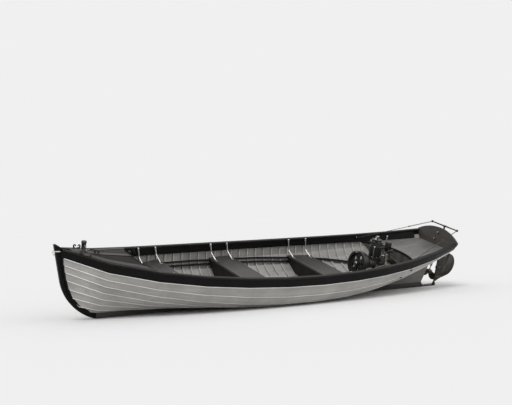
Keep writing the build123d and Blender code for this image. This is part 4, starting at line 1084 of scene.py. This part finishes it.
@dataclass
class BowFittings:
    """Bitt, chocks and cleat.

    Attributes:
        bitt_x: Place of the bitt.
        chock_x: Place of the chocks.
        cleat_x: Place of the cleat.
    """

    bitt_x: float = 5195
    chock_x: float = 5215
    cleat_x: float = 5045

    def build(self, bench: Bench) -> None:
        """Makes the fittings on the foredeck."""
        shape = bmesh.new()
        base = deck_z(self.bitt_x + 40) + 0.3
        profile = [(0, 0), (39, 0), (39, 5), (33, 10), (27, 13), (24, 22), (24, 78), (28, 86), (29, 97)]
        profile += [(24, 106), (12, 108), (0, 108)]
        turned(shape, profile, Matrix.Translation((self.bitt_x, 0, base)))
        bench.put(shape, "bitt_post", "hull", POST_WOOD, ("mooring_bitt",))
        pin = bmesh.new()
        for half in (1, -1):
            rod(pin, [(self.bitt_x, half * 20, base + 64), (self.bitt_x, half * 62, base + 64)], 6.5, smooth=False)
        for angle in range(4):
            turn = math.radians(45 + 90 * angle)
            spot = (self.bitt_x + 33 * math.cos(turn), 33 * math.sin(turn), base + 8.5)
            bolt(pin, Matrix.Translation(spot), 4.5, 3.5)
        bench.put(pin, "bitt_pin", "hull", NICKEL)
        self.chocks(bench)
        self.cleat(bench)

    def chocks(self, bench: Bench) -> None:
        """Makes a curled chock on each rail."""
        shape = bmesh.new()
        for side in (1, -1):
            line = []
            for dx in (-45, 45):
                y, z = rail_at(self.chock_x + dx)
                line.append(Vector((self.chock_x + dx, side * (y - RAIL_WIDTH / 2), z + 0.3)))
            aft, fore = line
            along = (fore - aft).normalized()
            up = Vector((0, 0, 1))
            middle = (aft + fore) / 2
            place = frame_at(middle + up * 3, up.cross(along), up)
            place = place @ Matrix.Rotation(math.pi / 2, 4, "X")
            block(shape, (90, 20, 6), place, ease=1.5)
            for end, way in ((aft, 1), (fore, -1)):
                points = [
                    end + along * way * 10 + up * 4,
                    end + along * way * -4 + up * 20,
                    end + along * way * 6 + up * 37,
                    end + along * way * 26 + up * 38,
                    end + along * way * 36 + up * 24,
                ]
                rod(shape, points, 8, taper=(1.2, 1.0, 0.95, 0.85, 0.6))
        bench.put(shape, "rail_chocks", "hull", DARK_BRONZE, ("bow_chocks",))

    def cleat(self, bench: Bench) -> None:
        """Makes the horned cleat on the foredeck."""
        shape = bmesh.new()
        points = []
        for dx in (-75, -30, 30, 75):
            x = self.cleat_x + dx
            points.append((x, 0, deck_z(x) + (34 if abs(dx) > 50 else 30)))
        rod(shape, points, 9, taper=(0.55, 1.0, 1.0, 0.55))
        for dx in (-20, 20):
            x = self.cleat_x + dx
            rod(shape, [(x, 0, deck_z(x) + 2), (x, 0, deck_z(x) + 29)], 9, smooth=False, taper=(1.3, 0.8))
            turned(shape, [(0, 0.5), (17, 0.5), (17, 4), (10, 7), (0, 7)], Matrix.Translation((x, 0, deck_z(x))), 20)
        bench.put(shape, "horned_cleat", "hull", DARK_BRONZE, ("deck_cleat",))


@dataclass
class Helm:
    """The small wheel at the foredeck's after edge.

    Attributes:
        x: The wheel's after face.
        y: Its middle's distance to port.
        z: Height of its middle.
        radius: Radius of its rim.
        handle: How far each spoke stands out of the rim.
        spokes: Number of spokes.
    """

    x: float = 4598
    y: float = -45
    z: float = 698
    radius: float = 50
    handle: float = 14
    spokes: int = 6

    def build(self, bench: Bench) -> None:
        """Makes the wheel and dresses its bracket."""
        shape = bmesh.new()
        middle = (self.x + 7, self.y, self.z)
        place = frame_at(middle, (1, 0, 0))
        ring = self.radius - 6
        size = (self.radius + self.handle) / 80
        points = [place @ Vector((ring * math.cos(a), ring * math.sin(a), 0)) for a in self._angles(24)]
        rod(shape, points, 6.2, closed=True)
        for angle in self._angles(self.spokes):
            way = place.to_3x3() @ Vector((math.cos(angle), math.sin(angle), 0))
            spoke = frame_at(middle, way)
            profile = [(0, 14), (5, 17), (4, 26), (5.5, 34), (4, 44), (5, 56), (4, 63), (6, 70), (5.5, 77), (3, 80)]
            turned(shape, [(r, h * size) for r, h in profile] + [(0, 80.5 * size)], spoke, steps=10)
        turned(shape, [(0, -7), (16, -7), (19, -4), (19, 4), (16, 7), (0, 7)], place)
        bench.put(shape, "spoked_wheel", "helm", DARK_WOOD, ("helm_wheel",))
        boss = bmesh.new()
        turned(boss, [(0, -14), (4, -14), (8, -11), (11, -7.2), (0, -7)], place, steps=20)
        bench.put(boss, "wheel_boss", "helm", NICKEL)
        bench.dress("helm_bracket", DARK_BRONZE, ease=2)
        screws = bmesh.new()
        for y in (self.y - 13, self.y + 13):
            for z in (self.z - 82, self.z - 62):
                bolt(screws, frame_at((self.x + 40, y, z), (-1, 0, 0)), 4.2, 3)
        bench.put(screws, "bracket_screws", "hull", NICKEL)

    def _angles(self, count: int) -> list[float]:
        """Evenly spaced angles round a circle."""
        return [math.tau * k / count for k in range(count)]


@dataclass
class Steering:
    """Rudder, yoke and the lines that lead forward from it.

    Attributes:
        yoke_z: Height of the underside of the yoke.
        half_span: Distance from the stock to the yoke's eyes.
        fairlead: Place of the port fairlead's after face.
        chain_share: Share of each line that is chain.
        link: Length of a chain's link.
    """

    yoke_z: float = 852.3
    half_span: float = 232
    fairlead: tuple[float, float, float] = (985, 526, 575)
    chain_share: float = 0.32
    link: float = 26

    def build(self, bench: Bench) -> None:
        """Makes the rudder's pieces and the steering lines."""
        bench.dress("rudder_stock", DARK_BRONZE)
        bench.dress("rudder_gudgeon", DARK_BRONZE, ease=1.5)
        self.blade(bench)
        self.yoke(bench)
        self.lines(bench)
        self.fairleads(bench)

    def blade(self, bench: Bench) -> None:
        """Makes the blade with eased edges and its straps."""
        shape = bmesh.new()
        place = Matrix(((1, 0, 0, 0), (0, 0, -1, 0), (0, 1, 0, 0), (0, 0, 0, 1)))
        centre, radius = self._circle((-291, 132), (-418, 262), (-262, 456))
        start = math.atan2(132 - centre.y, -291 - centre.x)
        end = math.atan2(456 - centre.y, -262 - centre.x)
        if start < 0:
            start += math.tau
        steps = [start + (end - start) * k / 14 for k in range(15)]
        arc = [(centre.x + radius * math.cos(a), centre.y + radius * math.sin(a)) for a in steps]
        outline = [(-100.3, 466), (-100.3, 58), (-166, 93)] + arc + [(-221, 466)]
        plate(shape, outline, 22, place, ease=5)
        bench.put(shape, "rudder_board", "rudder", RUDDER_WOOD, ("rudder_blade",), smooth=30)
        straps, bolts = bmesh.new(), bmesh.new()
        for z, reach in ((120, 96), (262, 150), (420, 110)):
            for side in (1, -1):
                at = Vector((STOCK_X - 10 - reach / 2, side * 12.6, z))
                block(straps, (reach, 3.2, 24), Matrix.Translation(at), ease=1.2)
                for k in (0.15, 0.55, 0.9):
                    spot = (STOCK_X - 12 - reach * k, side * 14.2, z)
                    bolt(bolts, frame_at(spot, (0, side, 0)), 5, 3)
            collar = [(12.3, -14), (17, -14), (18, -10), (18, 10), (17, 14), (12.3, 14), (12.3, -14)]
            turned(straps, collar, Matrix.Translation((STOCK_X, 0, z)), steps=24)
        bench.put(straps, "rudder_straps", "rudder", DARK_BRONZE)
        bench.put(bolts, "rudder_bolts", "rudder", BRONZE)

    def _circle(self, a: Point, b: Point, c: Point) -> tuple[Vector, float]:
        """The centre and radius of the circle through three points."""
        (ax, ay), (bx, by), (cx, cy) = a, b, c
        d = 2 * (ax * (by - cy) + bx * (cy - ay) + cx * (ay - by))
        aa, bb, cc = ax * ax + ay * ay, bx * bx + by * by, cx * cx + cy * cy
        centre = Vector(((aa * (by - cy) + bb * (cy - ay) + cc * (ay - by)) / d,
                         (aa * (cx - bx) + bb * (ax - cx) + cc * (bx - ax)) / d))
        return centre, (centre - Vector(a)).length

    def yoke(self, bench: Bench) -> None:
        """Makes the yoke, tapered to a knob at each end."""
        shape = bmesh.new()
        half = self.half_span
        side = [(15, 26), (9, 90), (7, half - 14)]
        outline = [(x, y) for x, y in side] + [(-x, y) for x, y in reversed(side)]
        outline += [(-x, -y) for x, y in side] + [(x, -y) for x, y in reversed(side)]
        plate(shape, outline, 14, Matrix.Translation((STOCK_X, 0, self.yoke_z + 8)), ease=2.5)
        for y in (-half, half):
            knob = Matrix.Translation((STOCK_X, y, self.yoke_z + 8))
            bmesh.ops.create_uvsphere(shape, u_segments=18, v_segments=10, radius=17, matrix=knob)
        boss = [(0, 0), (25, 0), (26, 3), (26, 13), (22, 16), (0, 16)]
        turned(shape, boss, Matrix.Translation((STOCK_X, 0, self.yoke_z)))
        bench.put(shape, "steering_yoke", "rudder", DARK_BRONZE, ("rudder_yoke",))
        nut = bmesh.new()
        bolt(nut, Matrix.Translation((STOCK_X, 0, self.yoke_z + 15.5)), 13, 10)
        bench.put(nut, "yoke_nut", "rudder", NICKEL)

    def lines(self, bench: Bench) -> None:
        """Makes each line: chain from the yoke, a shackle, and rope to the fairlead."""
        chain, rope = bmesh.new(), bmesh.new()
        for side in (1, -1):
            near = Vector((STOCK_X, side * self.half_span, self.yoke_z + 8))
            far = Vector((self.fairlead[0], side * self.fairlead[1], self.fairlead[2]))
            way = (far - near).normalized()
            length = (far - near).length
            first, last = 20.0, length * self.chain_share
            count = int((last - first) / (self.link * 0.72))
            for number in range(count):
                centre = near + way * (first + number * self.link * 0.72)
                place = frame_at(centre, way) @ Matrix.Rotation(math.radians(45 + 90 * (number % 2)), 4, "Z")
                half = self.link / 2 - 3
                outline = [(5.5, 0, half * 0.4), (3.5, 0, half), (-3.5, 0, half), (-5.5, 0, half * 0.4)]
                outline += [(-5.5, 0, -half * 0.4), (-3.5, 0, -half), (3.5, 0, -half), (5.5, 0, -half * 0.4)]
                rod(chain, [place @ Vector(p) for p in outline], 2.6, closed=True, sides=1)
            end = near + way * (first + count * self.link * 0.72)
            place = frame_at(end + way * 8, way)
            turned(chain, [(0, -16), (6, -15), (8, -8), (8, 10), (5, 17), (0, 18)], place, steps=14)
            rod(rope, [end + way * 14, (end + far) / 2 + Vector((0, 0, -6)), far], 4, sides=3)
        for shape, name, finish, slot in (
            (chain, "steering_chain", DARK_BRONZE, "rope"),
            (rope, "steering_rope", ROPE, "rope"),
        ):
            piece = bench.put(shape, name, "hull", finish, ("steering_lines",), ride=False)
            start = bench.axes.at(self.fairlead[0] - 100, 0, self.fairlead[2])
            stop = bench.axes.at(STOCK_X + 30, 0, self.yoke_z)
            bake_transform(piece)

    def fairleads(self, bench: Bench) -> None:
        """Makes a sheave in a cheek block at each side."""
        shape, wheel = bmesh.new(), bmesh.new()
        for side in (1, -1):
            x, y, z = self.fairlead[0] + 15, side * self.fairlead[1], self.fairlead[2]
            for dy in (-6.5, 6.5):
                block(shape, (30, 3, 32), Matrix.Translation((x, y + dy, z)), ease=1)
            place = frame_at((x, y - 5, z), (0, 1, 0))
            turned(wheel, [(0, 0), (13, 0), (10, 5), (13, 10), (0, 10)], place, steps=22)
            bolt(shape, frame_at((x, y - side * 8, z), (0, -side, 0)), 5, 3)
        bench.put(shape, "fairlead_cheeks", "hull", DARK_BRONZE, ("line_fairleads",))
        bench.put(wheel, "fairlead_sheaves", "hull", BRONZE)


@dataclass
class Drive:
    """Propeller, shaft and flywheel, which turn together.

    Attributes:
        reach: Radius of the propeller.
        pitch: Pitch angle in degrees at seven tenths of the radius.
        blades: Number of blades.
    """

    reach: float = 150
    pitch: float = 30
    blades: int = 3

    def build(self, bench: Bench) -> None:
        """Makes the propeller and finishes the flywheel."""
        bench.dress("shaft", STEEL)
        bench.dress("flywheel", IRON, ease=2.5)
        self.propeller(bench)
        self.flywheel_fittings(bench)

    def along(self) -> Vector:
        """The shaft's direction, forward."""
        return (SHAFT_FORE - SHAFT_AFT).normalized()

    def propeller(self, bench: Bench) -> None:
        """Makes twisted blades on a tapered hub."""
        shape = bmesh.new()
        hub = frame_at(SHAFT_AFT, self.along(), (0, 0, 1))
        for number in range(self.blades):
            turn = Matrix.Rotation(math.tau * number / self.blades, 4, "Z")
            made = bmesh.ops.create_grid(shape, x_segments=10, y_segments=8, size=0.5)
            for vert in made["verts"]:
                out, chord = vert.co.x + 0.5, vert.co.y * 2
                radius = 20 + (self.reach - 20) * out
                share = radius / self.reach
                width = 46 * math.sqrt(max(0.0, 1 - ((share - 0.62) / 0.39) ** 2)) if share > 0.42 else 24 + 38 * share
                width = max(width, 3.0)
                lean = math.radians(min(62, math.degrees(math.atan(math.tan(math.radians(self.pitch)) * 0.7 / share))))
                spread = chord * width
                point = Vector((spread * math.cos(lean), radius, spread * math.sin(lean)))
                vert.co = hub @ turn @ point
        made_faces = shape.faces[:]
        bmesh.ops.recalc_face_normals(shape, faces=made_faces)
        bmesh.ops.solidify(shape, geom=made_faces, thickness=6.5)
        profile = [(0, -40), (8, -38), (20, -34), (24, -28), (27, -10), (27, 30), (24, 37), (16, 38), (0, 38)]
        turned(shape, profile, hub)
        bench.put(shape, "bladed_propeller", "drive", DARK_BRONZE, ("propeller",), smooth=50)
        nut = bmesh.new()
        bolt(nut, frame_at(SHAFT_AFT - self.along() * 40, -self.along()), 17, 14)
        bench.put(nut, "propeller_nut", "drive", BRONZE)

    def flywheel_fittings(self, bench: Bench) -> None:
        """Adds the hub's nut, the starting peg and the rim's clamp bolts."""
        ahead = self.along()
        shape = bmesh.new()
        face = SHAFT_FORE + ahead * 41
        turned(shape, [(0, 0), (24, 0), (24, 6), (18, 12), (13, 14), (13, 30), (0, 32)], frame_at(face, ahead))
        place = frame_at(SHAFT_FORE, ahead)
        peg = place @ Vector((0, 143, 40))
        turned(shape, [(0, 0), (9, 0), (8, 26), (12, 32), (12, 52), (8, 60), (0, 61)], frame_at(peg, ahead), steps=18)
        for k in range(5):
            angle = math.tau * (k + 0.5) / 5
            spot = place @ Vector((60 * math.cos(angle), 60 * math.sin(angle), 13))
            bolt(shape, frame_at(spot, ahead), 8, 7)
        bench.put(shape, "flywheel_fittings", "drive", STEEL)


@dataclass
class Engine:
    """The single-cylinder engine and its pipes.

    Attributes:
        x: Place of the cylinder.
        top: Height of the cylinder's top.
        height: The cylinder's own height.
        head: Height of the head on it.
        case_aft: Place of the crankcase's after end.
        case_length: Its length along the shaft.
        case_bolts: Radius of the ring of bolts round it.
        stud_circle: Radius of the ring of studs on the cylinder's flanges.
        chamber: Foot of the round chamber abaft the cylinder.
    """

    x: float = 1130
    top: float = 689.7
    height: float = 215
    head: float = 28
    case_aft: float = 1000
    case_length: float = 270
    case_bolts: float = 95
    stud_circle: float = 81
    chamber: tuple[float, float, float] = (914, 0, 546)

    def build(self, bench: Bench) -> None:
        """Dresses the engine and adds its fittings."""
        for node in ("engine_crankcase", "engine_cylinder", "engine_head", "exhaust_pipe"):
            bench.dress(node, IRON, ease=2)
        for node in ("carburettor", "water_pump"):
            bench.dress(node, BRONZE, ease=3)
        bench.dress("hull_outlets", DARK_BRONZE, ease=2)
        self.cylinder(bench)
        self.top_end(bench)
        self.pipes(bench)

    def cylinder(self, bench: Bench) -> None:
        """Adds flanges and their studs to the cylinder and crankcase."""
        shape, studs = bmesh.new(), bmesh.new()
        place = Matrix.Translation((self.x, 0, 0))
        base = self.top - self.height
        for low, high, reach in ((base + 1, base + 15, 92), (self.top - 16, self.top - 0.5, 88)):
            flange = [(70, low), (reach - 2, low), (reach, low + 2), (reach, high - 2), (reach - 2, high), (70, high)]
            turned(shape, flange, place)
        turned(shape, [(74, base + 60), (84, base + 66), (84, base + 150), (74, base + 158)], place)
        for k in range(8):
            angle = math.tau * (k + 0.5) / 8
            for z in (base + 15, self.top - 0.5):
                spot = (self.x + self.stud_circle * math.cos(angle), self.stud_circle * math.sin(angle), z)
                bolt(studs, Matrix.Translation(spot), 7, 8)
        ahead = (SHAFT_FORE - SHAFT_AFT).normalized()
        for share in (0.18, 0.62):
            at = SHAFT_AFT + ahead * ((self.case_aft - SHAFT_AFT.x) / ahead.x + self.case_length * share)
            ring = frame_at(at, ahead)
            turned(shape, [(88, 0), (99, 0), (100, 3), (100, 11), (99, 14), (88, 14)], ring, steps=36)
            for k in range(10):
                angle = math.tau * k / 10
                spot = ring @ Vector((self.case_bolts * math.cos(angle), self.case_bolts * math.sin(angle), 14))
                bolt(studs, frame_at(spot, ahead), 5, 4)
        for y in (-124, 124):
            for x in (1075, 1180):
                bolt(studs, Matrix.Translation((x, y, 218 + (x - 52) * 0.1398 + 24)), 9, 10)
        bench.put(shape, "engine_flanges", "hull", IRON)
        bench.put(studs, "engine_studs", "hull", STEEL)

    def top_end(self, bench: Bench) -> None:
        """Adds the plug, the priming cup and the timing lever."""
        bright, pale = bmesh.new(), bmesh.new()
        top = self.top + self.head
        cup = [(0, 0), (8, 0), (8, 10), (16, 22), (19, 34), (17, 36), (13, 24), (0, 20)]
        turned(bright, cup, Matrix.Translation((self.x - 4, 0, top + 4)), steps=20)
        plug = Matrix.Translation((self.x + 34, 12, top))
        bolt(bright, plug, 12, 10)
        turned(pale, [(0, 10), (8, 10), (7, 24), (5, 34), (0, 34)], plug, steps=16)
        bolt(bright, plug @ Matrix.Translation((0, 0, 34)), 5, 8)
        rod(bright, [(905, -58, 400), (905, -58, 560), (903, -56, 726)], 4.5, smooth=False)
        turned(bright, [(0, 0), (9, 3), (11, 10), (8, 17), (0, 20)], Matrix.Translation((903, -56, 722)), steps=16)
        rod(bright, [(1210, 60, 470), (1236, 84, 560), (1240, 92, 640)], 5, smooth=True)
        turned(bright, [(0, 0), (8, 2), (10, 9), (7, 17), (0, 19)], Matrix.Translation((1240, 92, 636)), steps=16)
        bench.put(bright, "engine_bright_work", "hull", NICKEL)
        bench.put(pale, "plug_porcelain", "hull", PORCELAIN)

    def pipes(self, bench: Bench) -> None:
        """Adds the water, fuel and exhaust pipes with their unions."""
        copper, iron = bmesh.new(), bmesh.new()
        rod(copper, [(925, -58, 372), (925, -70, 440), (930, -100, 560), (1000, -110, 622), (1062, -46, 634)], 8)
        rod(copper, [(1040, 128, 470), (1040, 150, 430), (1100, 190, 420), (1300, 215, 420), (1420, 300, 400)], 5)
        rod(copper, [(930, -30, 350), (860, -60, 330), (841, -150, 330), (900, -300, 400)], 9)
        rod(iron, [(1164, 12, 762), (1190, 60, 780), (1200, 130, 700), (1180, 170, 560), (1160, 200, 470)], 3.6)
        rod(iron, [(1040, 128, 565), (1030, 150, 600), (1000, 190, 612)], 17, taper=(1.0, 1.0, 1.35))
        for spot, way, size in (
            ((1054, 0, 600), (-1, 0, 0), 34),
            ((968, 0, 600), (-1, 0, 0), 21),
            ((904, 44, 519), (-0.1, 0.45, -0.9), 21),
        ):
            turned(iron, [(16, 0), (size, 0), (size, 9), (16, 9), (16, 0)], frame_at(spot, way), steps=22)
        chamber = Matrix.Translation(self.chamber)
        drum(iron, chamber, 43, 124, ease=9)
        turned(iron, [(40, 60), (46, 60), (46, 68), (40, 68)], chamber)
        bench.put(copper, "engine_pipes", "hull", BRONZE)
        bench.put(iron, "engine_iron_pipes", "hull", IRON)


@dataclass
class Studio:
    """Pale floor, soft lamps and the photograph's camera.

    Attributes:
        place: The camera's place in the upright boat's axes.
        yaw: The camera's heading in degrees.
        pitch: Its tilt in degrees.
        roll: Its roll in degrees.
        lens: Its focal length in millimetres on a sensor 36 mm wide.
        pale: Hex colour of the floor and the background.
        surround: The surround's share of the light that falls on level ground, over its own tone.
    """

    place: tuple[float, float, float] = (8573.51, 7663.20, 3396.60)
    yaw: float = -125.402
    pitch: float = -12.909
    roll: float = 8.059
    lens: float = 58.86
    pale: str = "f0f0f0"
    surround: float = 0.71

    def build(self, bench: Bench) -> None:
        """Sets up the camera, the floor, the world and the lamps."""
        self.camera(bench.axes)
        self.floor()
        self.world()
        self.lamps()

    def camera(self, axes: BoatAxes) -> None:
        """Puts the camera where the photograph was taken from."""
        yaw, pitch, roll = (math.radians(a) for a in (self.yaw, self.pitch, self.roll))
        ahead = Vector((math.cos(yaw) * math.cos(pitch), math.sin(yaw) * math.cos(pitch), math.sin(pitch)))
        right = Vector((math.sin(yaw), -math.cos(yaw), 0))
        up = right.cross(ahead)
        right, up = right * math.cos(roll) + up * math.sin(roll), up * math.cos(roll) - right * math.sin(roll)
        columns = [axes.way(*vector) for vector in (right, up, -ahead)]
        data = bpy.data.cameras.new("camera")
        data.lens = self.lens
        data.sensor_width = 36
        data.clip_end = 100
        camera = bpy.data.objects.new("camera", data)
        camera.matrix_world = Matrix.Translation(axes.at(*self.place)) @ Matrix(columns).transposed().to_4x4()
        bpy.context.scene.collection.objects.link(camera)
        bpy.context.scene.camera = camera

    def floor(self) -> None:
        """Lays the floor, which shows the pale background where no shadow falls."""
        shape = bmesh.new()
        bmesh.ops.create_grid(shape, x_segments=1, y_segments=1, size=60)
        mesh = bpy.data.meshes.new("studio_floor")
        shape.to_mesh(mesh)
        shape.free()
        floor = bpy.data.objects.new("studio_floor", mesh)
        bpy.context.scene.collection.objects.link(floor)
        material = bpy.data.materials.new("pale_floor")
        material.use_nodes = True
        shader = material.node_tree.nodes["Principled BSDF"]
        shader.inputs["Base Color"].default_value = colour(self.pale)
        shader.inputs["Roughness"].default_value = 1.0
        shader.inputs["Specular IOR Level"].default_value = 0.0
        mesh.materials.append(material)

    def world(self) -> None:
        """Makes an even pale surround."""
        world = bpy.data.worlds.new("studio")
        bpy.context.scene.world = world
        world.use_nodes = True
        tree = world.node_tree
        background = tree.nodes["Background"]
        path = add(tree, "ShaderNodeLightPath")
        seen = add(
            tree,
            "ShaderNodeMath",
            {0: path.outputs["Is Camera Ray"], 1: path.outputs["Is Glossy Ray"]},
            operation="MAXIMUM",
        )
        strength = add(tree, "ShaderNodeMapRange", {"Value": seen.outputs[0], "To Min": self.surround, "To Max": 1.0})
        background.inputs["Color"].default_value = colour(self.pale)
        tree.links.new(strength.outputs[0], background.inputs["Strength"])

    def lamps(self) -> None:
        """Hangs wide suns, whose light on the floor adds with the surround's to a plain level.

        Each row holds a lamp's name, where it stands round the boat, its height in degrees, its share of the light
        that falls on level ground, and its width in degrees.
        """
        for name, round_deg, high_deg, share, wide_deg in (
            ("key", 38, 50, 0.30, 28),
            ("fill", 130, 34, 0.08, 60),
        ):
            data = bpy.data.lights.new(name, "SUN")
            data.angle = math.radians(wide_deg)
            data.energy = share * math.pi / math.sin(math.radians(high_deg))
            lamp = bpy.data.objects.new(name, data)
            tilt = Matrix.Rotation(math.radians(90 - high_deg), 4, "Y")
            lamp.matrix_world = Matrix.Rotation(math.radians(round_deg), 4, "Z") @ tilt
            bpy.context.scene.collection.objects.link(lamp)
        bpy.context.scene.view_settings.view_transform = "Standard"


def main() -> None:
    """Dresses the frame, adds the pieces and sets the studio."""
    logging.basicConfig(level=logging.INFO, format="%(name)s: %(message)s")
    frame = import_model()
    bench = Bench(BoatAxes.read(frame["joints"]), frame["nodes"])
    Studio().build(bench)
    for part in (
        Planking(), Backbone(), FittingOut(), Decks(), BowFittings(), Helm(), Steering(), Drive(), Engine()
    ):
        part.build(bench)
        LOG.info("%s done", type(part).__name__)


if __name__ == "__main__":
    main()
